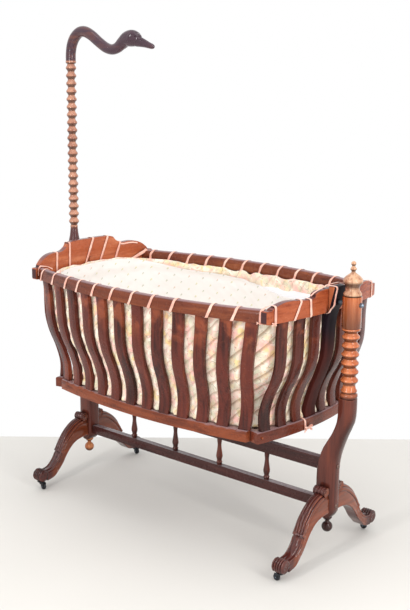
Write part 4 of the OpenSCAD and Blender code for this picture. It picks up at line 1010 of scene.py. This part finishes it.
def end_loop(edge, top_y, low_y):
    """A loop round the foot panel, from its top edge down between two end slats, beside the hanger outside."""
    top = edge_height(edge, top_y) + LIFT
    inner = -PANEL_THICK - LIFT
    beside = math.copysign(max(abs(top_y), HANGER_HALF + 0.007), low_y)
    beside_z = HANGER_TOP + 0.003 if top > HANGER_TOP + 0.01 else top - 0.008
    return [
        by_end(low_y, 0, UNDER_RAIL, 0.3, -1), by_end(low_y, LIFT, RAIL_BOTTOM + 0.004, 1, -0.2),
        by_end(beside, LIFT, beside_z, 1, 0), by_end(top_y, LIFT, top - 0.003, 1, 0), by_end(top_y, 0, top, 1, 1),
        by_end(top_y, -PANEL_THICK, top, -1, 1), by_end(top_y, inner, top - 0.003, -1, 0),
        by_end(low_y, inner, RAIL_BOTTOM + 0.004, -1, -0.2), by_end(low_y, -PANEL_THICK, UNDER_RAIL, -0.3, -1)]


def hanger_loop():
    """The last loop at the foot slants down the hanger's outer face near its front edge."""
    y, side, inner = -0.023, HANGER_LOOP_Y, -PANEL_THICK - LIFT
    top = HANGER_TOP + LIFT

    def outside(out, z, up):
        slant = y + (side - y) * (HANGER_TOP - z) / (HANGER_TOP - RAIL_BOTTOM)
        return np.array([HANGER_FACE + out, slant, z]), np.array([1, 0, up])

    return [(np.array([0.560, side - 0.002, UNDER_RAIL]), np.array([0, 0, -1])),
            outside(-0.019, UNDER_RAIL, -1), outside(-0.014, RAIL_BOTTOM, 0), outside(-0.008, 0.850, -0.4),
            outside(LIFT + 0.001, 0.865, 0), outside(LIFT + 0.001, 0.883, 0), outside(0.007, 0.917, 0),
            outside(0.004, top + 0.0006, 1), (np.array([0.560, y - 0.002, top]), np.array([0, 0, 1])),
            by_end(y - 0.004, inner - 0.001, 0.918, -1, 1), by_end(side, inner, 0.900, -1, 0),
            by_end(side, inner, RAIL_BOTTOM + 0.006, -1, 0), by_end(side - 0.001, inner, UNDER_RAIL, -1, -1)]


def crest_run():
    """A taut run along the foot panel's top edge, over the hanger's top."""
    over = HANGER_TOP + LIFT + 0.0018
    places = [(-0.112, 0.9018), (-0.094, 0.911), (-0.064, 0.918), (-0.030, over), (0, over), (0.034, over),
              (0.070, 0.917)]
    return [by_end(y, -0.008, z, 0, 1) for y, z in places]


def head_crest_runs():
    """Three runs at the head: along the crest to the rear ear, slanting down inside, and by the front ear."""
    inner = -PANEL_THICK - LIFT
    along = [by_end(y, inner, edge_height(HEAD_EDGE, y) - 0.007, -1, 0.3)
             for y in np.arange(-0.156, -0.245, -0.012)]
    slant = [by_end(-0.278, inner - 0.010, RIM + LIFT, -0.5, 1),
             by_end(-0.268, inner - 0.008, RIM - 0.006, -1, 0.4), by_end(-0.205, inner - 0.001, 0.846, -1, 0)]
    ear = [by_end(0.296, inner, 0.852, -1, 0), by_end(0.296, inner, 0.878, -1, 0),
           by_end(0.288, inner - 0.002, 0.8865, -1, 1), by_end(0.262, inner - 0.012, RIM + LIFT, -0.3, 1),
           by_end(0.232, inner - 0.014, RIM - 0.012, -1, 0.4)]
    return along, slant, ear


def corner_strap():
    """A strap over the foot panel's front corner and the end of the front rail."""
    y, x, over = -0.272, 0.505, 0.8905 + LIFT
    radius = RAIL_THICK / 2 + LIFT + 0.0004
    centre = RIM - RAIL_THICK / 2

    def over_rail(at, degrees):
        a = math.radians(degrees)
        return by_side(at, -RAIL_THICK / 2 + radius * math.cos(a), centre + radius * math.sin(a), math.cos(a),
                       math.sin(a))

    return [
        by_end(y, LIFT, UNDER_RAIL, 1, -1), by_end(y, LIFT, RAIL_BOTTOM + 0.008, 1, 0),
        by_end(y, LIFT, over - 0.004, 1, 0), by_end(y, 0, over + 0.001, 1, 1),
        by_end(y, -PANEL_THICK, over + 0.001, 0, 1), over_rail(x + 0.004, 80), over_rail(x + 0.001, 50),
        over_rail(x, 25), by_side(x, LIFT + 0.0004, centre, 1, 0), by_side(x - 0.001, LIFT, RAIL_BOTTOM + 0.004, 1, 0),
        by_side(x - 0.001, 0, UNDER_RAIL, 0.3, -1), by_side(x + 0.008, -0.010, UNDER_RAIL - 0.0003, 0, -1)]


def bow(place, turn, scale, drop=1.0):
    """A small bow: two loops, two tails and a knot. x runs across it and y stands off the wood."""
    loop = [(0.0026, 0.0032), (0.010, 0.0018), (0.018, 0.003), (0.022, 0.007), (0.018, 0.011), (0.010, 0.0095),
            (0.0026, 0.0064)]
    tail = [(0.0034, 0.0048, -0.002), (0.007, 0.0054, -0.011), (0.009, 0.0046, -0.021), (0.014, 0.0054, -0.031)]
    spin = np.array(Matrix.Rotation(math.radians(turn), 3, "Z"))
    grids = []

    def put(stops, closed, width, seed):
        moved = [(spin @ np.array(p) * scale + np.array(place), spin @ np.array(f)) for p, f in stops]
        grids.append((ribbon_grid(moved, closed, width * (0.35 + 0.65 * scale), 0.001, 0.0003, seed), closed))

    for side in (-1, 1):
        stops = []
        for i, (x, y) in enumerate(loop):
            before, after = loop[i - 1], loop[(i + 1) % len(loop)]
            facing = (side * (after[1] - before[1]), before[0] - after[0], 0)
            stops.append(((side * x, y, x * 0.35 * (1 if side > 0 else 0.7)), facing))
        put(stops, True, 0.0062, 3 + side)
        tail_stops = [((side * x * (2 - drop), y, z * drop), (0, 1, 0.1)) for x, y, z in tail]
        put(tail_stops, False, 0.0065, 7 + side)
    knot = [(0, 0.0048 + 0.0038 * math.cos(a), 0.0042 * math.sin(a)) for a in around(10)]
    put([(p, (0, p[1] - 0.0048, p[2])) for p in knot], True, 0.0062, 2)
    return grids


def make_ribbons(material):
    def add(name, node, grids):
        piece(name, join_grids(name, grids), [material], "ribbon_pink", "cradle", node)

    def laid(stops, closed=True, width=RIBBON_WIDTH, seed=1):
        return ribbon_grid(stops, closed, width, seed=seed), closed

    add("front_lacing", "front_ribbon", [laid(side_lacing(FRONT_GAPS, 0.30), False, seed=4)])
    add("back_lacing", "back_ribbon", [laid(flipped(side_lacing(BACK_GAPS, 0.56), -1), False, seed=9)])
    head = [laid(flipped(end_loop(HEAD_EDGE, -top, -low), -1), seed=k) for k, (top, low) in enumerate(HEAD_LOOPS)]
    head += [laid(flipped(run, -1), False, width) for run, width in zip(head_crest_runs(), (0.006, 0.012, 0.006))]
    add("head_lacing", "head_ribbon", head)
    foot = [laid(end_loop(FOOT_EDGE, top, low), seed=20 + k) for k, (top, low) in enumerate(FOOT_LOOPS)]
    foot += [laid(hanger_loop(), seed=31), laid(crest_run(), False, 0.0055, 32)]
    foot += [laid(corner_strap(), seed=33), laid(flipped(corner_strap()), seed=34)]
    add("foot_lacing", "foot_ribbon", foot)

    rail_low_z = FRAME_TOP - 0.036
    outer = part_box("foot_bottom_rail")[1].x - 0.0008 + LIFT
    inner = outer - 0.038 - 2 * LIFT - 0.0004
    y = -0.042
    wrap = [(outer, rail_low_z - LIFT, 1, -1), (outer, FRAME_TOP - 0.010, 1, 0),
            (outer - 0.0008, FRAME_TOP - 0.0044, 1, 0.5), (outer - 0.004, FRAME_TOP - 0.0006, 0.7, 1),
            (outer - 0.010, FRAME_TOP + LIFT, 0, 1), (inner, FRAME_TOP + LIFT, -1, 1),
            (inner, rail_low_z - LIFT, -1, -1)]
    ring = [(np.array([x, y, z]), np.array([out, 0, up])) for x, z, out, up in wrap]
    bows = [laid(ring, seed=40)]
    bows += bow((outer + 0.0006, y + 0.010, rail_low_z + 0.006), -90, 0.95, 0.35)
    end_at = END_CENTRE + math.sqrt(END_RADIUS ** 2 - 0.280 ** 2)
    bows += bow((end_at + LIFT + 0.0006, -0.280, RAIL_BOTTOM + 0.003), -102, 0.45, 0.5)
    bows += bow((0.500, -side_y(0.500) - LIFT - 0.0006, RAIL_BOTTOM + 0.002), 196, 0.28, 0.5)
    add("bows", "ribbon_bows", bows)


# ---------- carved legs ----------

LEG_HALF = 0.0225          # half the thickness of a leg
POST_HALF = 0.0255         # where a leg meets its post
LEG_LIFT = 0.0050          # how far the reeds stand proud
REEDS = 5
LEG_BACK = curve([[POST_HALF, 0.232], [0.050, 0.233], [0.084, 0.225], [0.118, 0.203], [0.142, 0.174],
                  [0.156, 0.145], [0.166, 0.124], [0.176, 0.104], [0.190, 0.087], [0.212, 0.070],
                  [0.240, 0.066]], 8)
LEG_UNDER = curve([[POST_HALF, 0.160], [0.058, 0.159], [0.090, 0.152], [0.117, 0.135], [0.141, 0.109],
                   [0.162, 0.080], [0.184, 0.058], [0.206, 0.039], [0.240, 0.0315]], 8)
STEP_AT = 0.655            # share of the leg's back at which the reeds end in a carved step
LEG_FLAT = 0.0312          # the caster's plate sits under this height
# Distance out, height, radius
SCROLL = (0.258, 0.0545, 0.0245)
VOLUTE = (0.043, 0.2395, 0.0165)


def along_curve(points, share):
    lengths = np.linalg.norm(np.diff(points, axis=0), axis=1)
    at = np.concatenate([[0], np.cumsum(lengths)])
    at = at / at[-1]
    return np.stack([np.interp(share, at, points[:, k]) for k in range(points.shape[1])], -1)


def round_top(x, middle, half):
    """The height, from 0 to 1, of a half-round strip."""
    return np.sqrt(np.clip(1 - ((x - middle) / half) ** 2, 0, 1))


def leg_relief(across, share):
    """How far the carving on a leg's back stands proud: reeds, a step of small arcs, then one tongue.

    'across' runs from -1 to 1 over the rounded back, from one side face to the other.
    """
    reed = np.mod((across + 1) / 2 * REEDS, 1) * 2 - 1
    reeds = LEG_LIFT * np.sqrt(np.clip(1 - (reed * 0.97) ** 2, 0, 1)) * ease(share, 0.05, 0.12)
    arcs = LEG_LIFT * (0.95 + 0.22 * np.abs(np.cos(across * math.pi * 2.5)))
    band = ease(share, STEP_AT - 0.030, STEP_AT - 0.022)
    upper = np.maximum(reeds, arcs * band)
    tongue = 0.0044 * round_top(across, 0, 0.46 - 0.10 * ease(share, 0.75, 0.95))
    edge = 0.0030 * round_top(np.abs(across), 0.86, 0.16)
    lower = (tongue + edge) * ease(share, STEP_AT, STEP_AT + 0.04)
    return np.where(share <= STEP_AT, upper, lower)


def leg_body():
    """The leg's own sections from the post to the scroll, as points x across, y out and z up."""
    share = np.concatenate([np.linspace(0, STEP_AT - 0.034, 44), np.linspace(STEP_AT - 0.030, STEP_AT, 7),
                            np.linspace(STEP_AT + 0.003, 1, 34)])
    back = along_curve(LEG_BACK, share)
    under = along_curve(LEG_UNDER, np.interp(share, [0, 0.346, 0.67, 1], [0, 0.16, 0.51, 1]))
    across = np.linspace(-1, 1, 76)
    # A side face from the rounded back to the underside: share of its height, and how far it is hollowed
    side = [(0.04, 0.0), (0.10, 0.0012), (0.50, 0.0016), (0.80, 0.0014), (0.85, 0.0003), (0.90, 0.0),
            (0.955, 0.0004), (0.99, 0.0020)]
    rings = []
    for s, (by, bz), (uy, uz) in zip(share, back, under):
        depth = math.hypot(by - uy, bz - uz)
        out = np.array([0, (by - uy) / depth, (bz - uz) / depth])
        rounding = 0.0035 + 0.0150 * ease(s, STEP_AT + 0.02, 0.30)
        flat = LEG_HALF - rounding
        span = across * (flat + rounding * math.pi / 2)
        turn = np.clip((np.abs(span) - flat) / rounding, 0, math.pi / 2)
        face_x, face_up = np.sign(across) * np.sin(turn), np.cos(turn)
        rise = leg_relief(across, np.full(len(across), s))
        x = np.where(turn > 0, np.sign(across) * (flat + rounding * np.sin(turn)), span)
        x = x + face_x * (rise - LEG_LIFT)
        up = rounding * (face_up - 1) + face_up * rise
        ring = [np.array([x_at, by, bz]) + out * up_at for x_at, up_at in zip(x, up)]
        edge = abs(x[0])
        walls_x = [edge + (LEG_HALF - edge) * ease(q, 0.0, 0.10) - cut for q, cut in side]
        drops = [rounding + (depth - rounding) * q for q, _ in side]
        ring += [np.array([x_at, by, bz]) - out * drop for x_at, drop in zip(walls_x, drops)]
        ring += [np.array([x_at, uy, uz]) for x_at in np.linspace(LEG_HALF - 0.004, -LEG_HALF + 0.004, 7)]
        ring += [np.array([-x_at, by, bz]) - out * drop for x_at, drop in zip(walls_x[::-1], drops[::-1])]
        rings.append(ring)
    return np.array(rings)


def ribbed_roll(y, z, radius, ribs, lean):
    """A carved roll across a leg: ribs that run round it, rounded shoulders and a rosette on each end."""
    turn = around(72)
    half = LEG_HALF - 0.0002
    # A rosette's rings: share of its radius, and how far it stands out
    rosette = [(0.10, -0.0002), (0.22, 0.0004), (0.30, -0.0014), (0.48, -0.0004), (0.66, 0.0), (0.76, -0.0016)]
    petals = np.abs(np.cos(turn * 3.5))
    notch = 1 + 0.018 * np.cos(turn * 9 + lean)
    left, middle, right = [], [], []
    for share, depth in rosette:
        r = radius * 0.86 * share
        lobes = r * (1 + 0.10 * petals * ease(r, radius * 0.3, radius * 0.5))
        left.append((-half - depth - 0.0001, lobes))
        right.insert(0, (half + depth + 0.0001, lobes))
    for x in np.linspace(-half, half, 61):
        shoulder = math.sqrt(1 - min(abs(x) / (half * 1.12), 1) ** 2.6)
        rib = abs(math.cos(math.pi * x * ribs / (2 * half))) ** 0.6
        middle.append((x, radius * (0.60 + 0.24 * rib + 0.14 * shoulder) * notch))
    return np.stack([np.stack([np.full_like(turn, x), y + r * np.cos(turn), z + r * np.sin(turn)], -1)
                     for x, r in left + middle + right])


def make_legs(material, group):
    body = leg_body()
    scroll = ribbed_roll(*SCROLL, 5, 0.4)
    volute = ribbed_roll(*VOLUTE, 4, 0.0)
    for end in ("head", "foot"):
        foot_x = (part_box(f"{end}_front_leg")[0].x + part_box(f"{end}_front_leg")[1].x) / 2
        for side, sy in (("front", -1), ("rear", 1)):
            grids = []
            for grid in (body, scroll, volute):
                placed = np.maximum(grid, [-np.inf, -np.inf, LEG_FLAT])
                grids.append((placed * np.array([1, sy, 1]) + np.array([foot_x, 0, 0]), False))
            name = f"{end}_{side}_carved_leg"
            mesh = join_grids(name, grids, inverted=sy > 0)
            leg = piece(name, mesh, [material], "mahogany_dark", "stand", f"{end}_{side}_leg")
            straighten(leg)
            shade(leg, group, 42)


def straighten(obj):
    """Turns a closed mesh's faces outward."""
    mesh = bmesh.new()
    mesh.from_mesh(obj.data)
    bmesh.ops.recalc_face_normals(mesh, faces=mesh.faces)
    mesh.to_mesh(obj.data)
    mesh.free()


# ---------- the swan ----------

# Middle line of the neck and head: distance from the pole's axis, height, half height and half width
SWAN_LINE = [
    [0, 1.6180, 0.019, 0.019], [0, 1.6240, 0.019, 0.019],
    [0.001, 1.646, 0.019, 0.019], [0.008, 1.676, 0.0195, 0.0195],
    [0.025, 1.703, 0.020, 0.020], [0.052, 1.721, 0.020, 0.020], [0.082, 1.722, 0.020, 0.020],
    [0.116, 1.708, 0.0195, 0.0195], [0.154, 1.684, 0.019, 0.0185], [0.190, 1.6645, 0.0190, 0.018],
    [0.222, 1.6575, 0.0188, 0.0175], [0.250, 1.664, 0.0198, 0.017], [0.273, 1.679, 0.0225, 0.0185],
    [0.295, 1.692, 0.0265, 0.0215], [0.318, 1.6955, 0.0295, 0.0225], [0.338, 1.6945, 0.0275, 0.0205],
    [0.352, 1.6955, 0.0205, 0.0165], [0.361, 1.6985, 0.0120, 0.0115], [0.365, 1.700, 0.0040, 0.004]]
BEAK_LINE = [
    [0.334, 1.6850, 0.0170, 0.0130], [0.348, 1.6835, 0.0180, 0.0142], [0.366, 1.6805, 0.0163, 0.0130],
    [0.385, 1.6757, 0.0135, 0.0110], [0.404, 1.6700, 0.0108, 0.0098], [0.418, 1.6660, 0.0092, 0.0088],
    [0.427, 1.6645, 0.0066, 0.0066], [0.431, 1.6640, 0.0020, 0.0020]]
EYE = (0.349, 1.7030)   # distance from the pole's axis, height
# Rings of an eye: radius, and how far they stand out from the middle of the head
EYE_RINGS = ((0.0044, 0.0120), (0.0038, 0.0158), (0.0041, 0.0164), (0.0032, 0.0161), (0.0030, 0.0168),
             (0.0022, 0.0179), (0.0006, 0.0183))


def rod_along(name, line, pole_x, sides, steps, shape):
    """Rings square to a line, with 'shape' giving how far each point stands out, by distance and angle."""
    line = curve(line, steps)
    along = unit(np.gradient(line[:, :2], axis=0))
    turn = around(sides)
    out, height, half_tall, half_wide = (line[:, [k]] for k in range(4))
    proud = shape(out, turn)
    tall = half_tall * np.cos(turn) * proud
    wide = half_wide * np.sin(turn) * proud
    grid = np.stack([pole_x + out - along[:, [1]] * tall, wide, height + along[:, [0]] * tall], -1)
    return make_mesh(name, grid, ring_faces(grid))


def near(value, middle, spread):
    return np.exp(-((value - middle) / spread) ** 2)


def neck_shape(s, a):
    """Brows over the eyes, a hollow under each and a feathered ridge where the head begins. Angle 0 is the top."""
    side = np.minimum(a, 2 * math.pi - a)
    brow = 0.14 * near(s, 0.352, 0.010) * near(side, 0.80, 0.28)
    socket = -0.10 * near(s, 0.345, 0.010) * near(side, 1.36, 0.20)
    cheek = 0.12 * near(s + 0.010 * (side - 1.3), 0.327, 0.0050) * near(side, 1.30, 0.34)
    crown = -0.03 * near(s, 0.340, 0.020) * near(side, 0.0, 0.25)
    ridge = (0.045 * near(s, 0.278 + 0.010 * np.cos(side * 5), 0.0028)
             - 0.035 * near(s, 0.284 + 0.010 * np.cos(side * 5), 0.0024)) * ease(side, 0.5, 0.9)
    plumes = 0.028 * np.cos(side * 15 + 160 * s) * near(s, 0.296, 0.012) * near(side, 1.25, 0.5)
    return 1 + brow + socket + cheek + crown + ridge + plumes


def beak_shape(s, a):
    """A groove for the mouth along both sides, a ridge on top, a nostril each side and a nail at the tip."""
    side = np.minimum(a, 2 * math.pi - a)
    mouth = -0.15 * near(side, 1.86 + 2.2 * (s - 0.38), 0.12) * ease(s, 0.346, 0.356) * ease(s, 0.427, 0.420)
    ridge = 0.07 * near(side, 0, 0.30) * ease(s, 0.35, 0.37)
    flank = -0.07 * near(side, 0.85, 0.30) * ease(s, 0.36, 0.38) * ease(s, 0.425, 0.405)
    nostril = -0.22 * near(s, 0.374, 0.0055) * near(side, 0.95, 0.16)
    nail = 0.10 * near(s, 0.4225, 0.0045) * near(side, 0, 0.9)
    return 1 + mouth + ridge + flank + nostril + nail


def make_swan(material, group):
    pole_x = (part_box("canopy_pole")[0].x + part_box("canopy_pole")[1].x) / 2
    neck = rod_along("swan", SWAN_LINE, pole_x, 56, 7, neck_shape)
    swan = piece("carved_swan", neck, [material], "mahogany_dark", "canopy", "swan_neck")
    beak = rod_along("beak", BEAK_LINE, pole_x, 40, 8, beak_shape)
    bill = piece("carved_bill", beak, [material], "mahogany_dark", "canopy")
    grids = []
    for side in (-1, 1):
        rings = [[(pole_x + EYE[0] + r * 1.15 * math.cos(t), side * out, EYE[1] + r * math.sin(t))
                  for t in around(24)] for r, out in EYE_RINGS]
        grids.append((np.array(rings), False))
    eyes = piece("carved_eyes", join_grids("eyes", grids), [material], "mahogany_dark", "canopy")
    for obj, degrees in ((swan, 60), (bill, 60), (eyes, 50)):
        straighten(obj)
        shade(obj, group, degrees)


# ---------- cloth materials ----------

def weave(s, pitch):
    """The height of a plain weave, on cloth coordinates."""
    u, v, _ = s.split(s.cloth())
    warp = s.calc("SINE", s.times(u, 2 * math.pi / pitch))
    weft = s.calc("SINE", s.times(v, 2 * math.pi / pitch))
    return s.times(warp, weft)


def blossom(s, dx, dy, radius, petals, turn):
    """The share of the way out from a flower's middle, 1 at the edge of its rounded petals."""
    distance = s.calc("SQRT", s.plus(s.times(dx, dx), s.times(dy, dy)))
    angle = s.plus(s.calc("ARCTAN2", dy, dx), turn)
    lobes = s.size(s.calc("COSINE", s.times(angle, petals / 2)))
    edge = s.times(s.scaled(lobes, 0.42, 0.58), radius)
    return s.calc("DIVIDE", distance, edge)


def floral_quilt():
    """Cream cotton with loose watercolour flowers and leaves in pink, straw and grey-green."""
    s = Shader("floral_quilt")
    cloth = s.cloth()
    wobble = s.vector("MULTIPLY", s.noise(cloth, 55, 2, 0.5, colour=True), (0.009, 0.009, 0))
    where = s.vector("ADD", cloth, wobble)
    colour = s.mix(s.noise(cloth, 9, 3, 0.6), rgb(232, 216, 196), rgb(244, 234, 220))
    washes = (((0.0, 0.0, 0), rgb(242, 184, 176), 0.48), ((0.61, 0.27, 0), rgb(236, 202, 124), 0.54),
              ((0.23, 0.83, 0), rgb(214, 200, 178), 0.52))
    for shift, tint, least in washes:
        wash = s.noise(s.vector("ADD", where, shift), 17, 3, 0.55, 0.4)
        colour = s.mix(s.span(wash, least, least + 0.13, 0.0, 0.76), colour, tint)
    # Density of the motifs, shift, petal colour, line colour, number of petals, radius
    motifs = ((19.0, (0.0, 0.0, 0), rgb(236, 178, 168), rgb(196, 138, 128), 5, 0.023),
              (21.0, (0.71, 0.43, 0), rgb(240, 210, 160), rgb(200, 164, 112), 6, 0.019),
              (26.0, (0.37, 0.11, 0), rgb(196, 198, 168), rgb(146, 148, 118), 2, 0.020))
    for density, shift, pale, line, petals, radius in motifs:
        moved = s.vector("ADD", where, shift)
        cell = s.cells(moved, density, randomness=0.9)
        off = s.split(s.vector("SUBTRACT", moved, cell["Position"]))
        chance = s.split(cell["Color"])
        size = s.times(s.scaled(chance[0], 0.6, 0.5), radius)
        share = blossom(s, off[0], off[1], size, petals, s.times(chance[1], 6.0))
        here = s.calc("GREATER_THAN", chance[2], 0.30)
        body = s.times(s.span(share, 1.15, 0.25), here)
        outline = s.times(s.span(s.size(s.calc("SUBTRACT", share, 1.0)), 0.16, 0.03), here)
        colour = s.mix(s.times(body, 0.58), colour, pale)
        broken = s.span(s.noise(moved, 60, 2, 0.5), 0.35, 0.62)
        colour = s.mix(s.times(s.times(outline, 0.72), broken), colour, line)
    u, v, _ = s.split(cloth)
    # Painted shadow under each quilted fold, stronger toward the foot end.
    rising = s.scaled(u, QUILT_RUN, s.times(v, -QUILT_RISE))
    below = s.calc("FRACT", s.calc("DIVIDE", rising, QUILT_PITCH))
    fold_shadow = s.calc("MAXIMUM", s.span(below, 0.0, 0.30, 1.0, 0.0), s.span(below, 0.92, 1.0, 0.0, 0.8))
    fold_shadow_share = s.span(s.split(s.place())[0], 0.10, 0.46, 0.22, 0.72)
    colour = s.mix(s.times(fold_shadow, fold_shadow_share), colour, rgb(150, 112, 84))
    # Painted shade: darker in corners and creases, by ambient occlusion.
    colour = s.mix(s.span(s.corners(0.012), 0.10, 0.80, 0.40, 0.0), colour, rgb(176, 136, 108))
    height = s.plus(s.times(weave(s, 0.0009), 0.25), s.noise(cloth, 120, 3, 0.6))
    # The emission is painted light: a glow that brightens the cloth where shade would fall, as in the gaps between
    # slats.
    s.set(Base_Color=colour, Roughness=0.88, Sheen_Weight=0.18, Normal=s.bump(height, 0.0006),
          Emission_Color=colour, Emission_Strength=0.31)
    return s.material


def sprigged_cotton():
    """Cream cotton with staggered rows of tiny sprigs."""
    s = Shader("sprigged_cotton")
    cloth = s.cloth()
    u, v, _ = s.split(cloth)
    row_height, spacing = 0.027, 0.066
    row = s.calc("FLOOR", s.calc("DIVIDE", v, row_height))
    along = s.plus(s.calc("DIVIDE", u, spacing), s.times(s.calc("MODULO", row, 2.0), 0.5))
    column = s.calc("FLOOR", along)
    chance = s.random(s.join(column, row, 0.0))
    dice = s.split(chance["Color"])
    dx = s.times(s.plus(s.calc("FRACT", along), s.scaled(dice[0], 0.06, -0.53)), spacing)
    dy = s.times(s.plus(s.calc("FRACT", s.calc("DIVIDE", v, row_height)), -0.5), row_height)
    flower = s.span(blossom(s, dx, dy, 0.0040, 5, s.times(dice[1], 6.0)), 1.0, 0.82)
    leaf = blossom(s, s.plus(dx, -0.0036), s.plus(dy, 0.0040), 0.0032, 2, s.times(dice[2], 3.0))
    leaf = s.span(leaf, 1.0, 0.82)
    petal = s.mix(s.calc("GREATER_THAN", dice[2], 0.35), rgb(214, 176, 156), rgb(172, 178, 160))
    petal = s.mix(s.calc("GREATER_THAN", dice[1], 0.60), petal, rgb(208, 204, 132))
    colour = s.mix(s.noise(cloth, 6, 2, 0.5), rgb(235, 231, 228), rgb(242, 240, 239))
    colour = s.mix(s.times(leaf, 0.55), colour, rgb(176, 184, 148))
    colour = s.mix(s.times(flower, 0.70), colour, petal)
    # Painted shade: darker in corners and creases, by ambient occlusion.
    colour = s.mix(s.span(s.corners(0.010), 0.15, 0.95, 0.30, 0.0), colour, rgb(170, 144, 120))
    height = s.plus(s.times(weave(s, 0.0007), 0.2), s.noise(cloth, 60, 3, 0.6))
    s.set(Base_Color=colour, Roughness=0.9, Sheen_Weight=0.12, Normal=s.bump(height, 0.0004))
    return s.material


def plain_cotton(name, pale, deep, fluff):
    s = Shader(name)
    place = s.place()
    colour = s.mix(s.noise(place, 14, 3, 0.6), deep, pale)
    height = s.plus(s.noise(place, 90, 4, 0.65), s.times(s.noise(place, 900, 2, 0.5), 0.25))
    # The emission is painted light: a glow that keeps the cotton bright in shade.
    s.set(Base_Color=colour, Roughness=0.92, Sheen_Weight=0.15, Normal=s.bump(height, fluff),
          Emission_Color=colour, Emission_Strength=0.15)
    return s.material


def satin_ribbon():
    s = Shader("satin_ribbon")
    place = s.place()
    fade = s.noise(place, 26, 3, 0.6)
    colour = s.mix(s.span(fade, 0.3, 0.7), rgb(234, 166, 146), rgb(250, 206, 188))
    # Painted shade: darker in corners and creases, by ambient occlusion.
    colour = s.mix(s.span(s.corners(0.004), 0.2, 0.9, 0.35, 0.0), colour, rgb(176, 106, 90))
    s.set(Base_Color=colour, Roughness=s.span(fade, 0.3, 0.7, 0.38, 0.52), Sheen_Weight=0.25,
          Normal=s.bump(s.noise(place, 1400, 2, 0.5), 0.00008))
    return s.material


def make_bedding():
    make_quilt_bag(floral_quilt(), plain_cotton("painted_lit_white", rgb(252, 252, 254), rgb(236, 236, 240), 0.0012))
    make_lining(sprigged_cotton())
    make_mattress(plain_cotton("mattress_cotton", rgb(250, 246, 236), rgb(240, 232, 216), 0.0003),
                  plain_cotton("piping_cotton", rgb(240, 230, 212), rgb(226, 212, 190), 0.0002))
    make_ribbons(satin_ribbon())


FLOOR_BEHIND = 0.76   # how far the pale floor goes on behind the cradle's middle, as seen from the camera
FLOOR_REACH = 7.0


def make_floor():
    """A pale floor that ends a little way behind the cradle, square to the camera's heading."""
    s = Shader("pale_floor")
    tone = s.noise(s.place(), 1.3, 3, 0.5)
    s.set(Base_Color=s.mix(tone, rgb(223, 221, 216), rgb(231, 229, 224)), Roughness=0.75)
    away = np.array([-math.sin(CAMERA_AZIMUTH), math.cos(CAMERA_AZIMUTH), 0])
    right = np.array([math.cos(CAMERA_AZIMUTH), math.sin(CAMERA_AZIMUTH), 0])
    corners = [right * x + away * y for x, y in (
        (-FLOOR_REACH, -FLOOR_REACH), (FLOOR_REACH, -FLOOR_REACH), (FLOOR_REACH, FLOOR_BEHIND),
        (-FLOOR_REACH, FLOOR_BEHIND))]
    mesh = bpy.data.meshes.new("floor")
    mesh.from_pydata([tuple(c) for c in corners], [], [(0, 1, 2, 3)])
    mesh.materials.append(s.material)
    link(bpy.data.objects.new("floor", mesh))


make_camera()
make_lights()
make_floor()
dress_wood()
dress_metal()
make_bedding()
shading_group = edge_group()
# flank paints the legs' side faces a lighter orange, a painted light.
carved_wood = wood("carved_wood", "Y", rgb(36, 14, 13), rgb(80, 34, 29), rgb(120, 62, 48), gloss=0.10,
                   shine=(0.34, 0.38), flank=(rgb(140, 68, 38), 0.215))
make_legs(carved_wood, shading_group)
# The swan's purple tint is partly the wood's own and partly a painted reflection.
swan_wood = wood("swan_wood", "X", rgb(46, 28, 38), rgb(66, 42, 54), rgb(108, 64, 54), gloss=0.12,
                 shine=(0.36, 0.3))
make_swan(swan_wood, shading_group)
soften(shading_group, 50, 0, "head_post", "foot_post", "canopy_pole", "post_finial")
soften(shading_group, 35, 0.0025, "front_bottom_rail", "back_bottom_rail", "head_bottom_rail", "foot_bottom_rail",
       "upper_stretcher", "lower_stretcher")
soften(shading_group, 35, 0.0015, "head_hanger", "foot_hanger", "head_panel", "foot_panel")
soften(shading_group, 35, 0.002, "front_slats", "back_slats", "head_slats", "foot_slats")
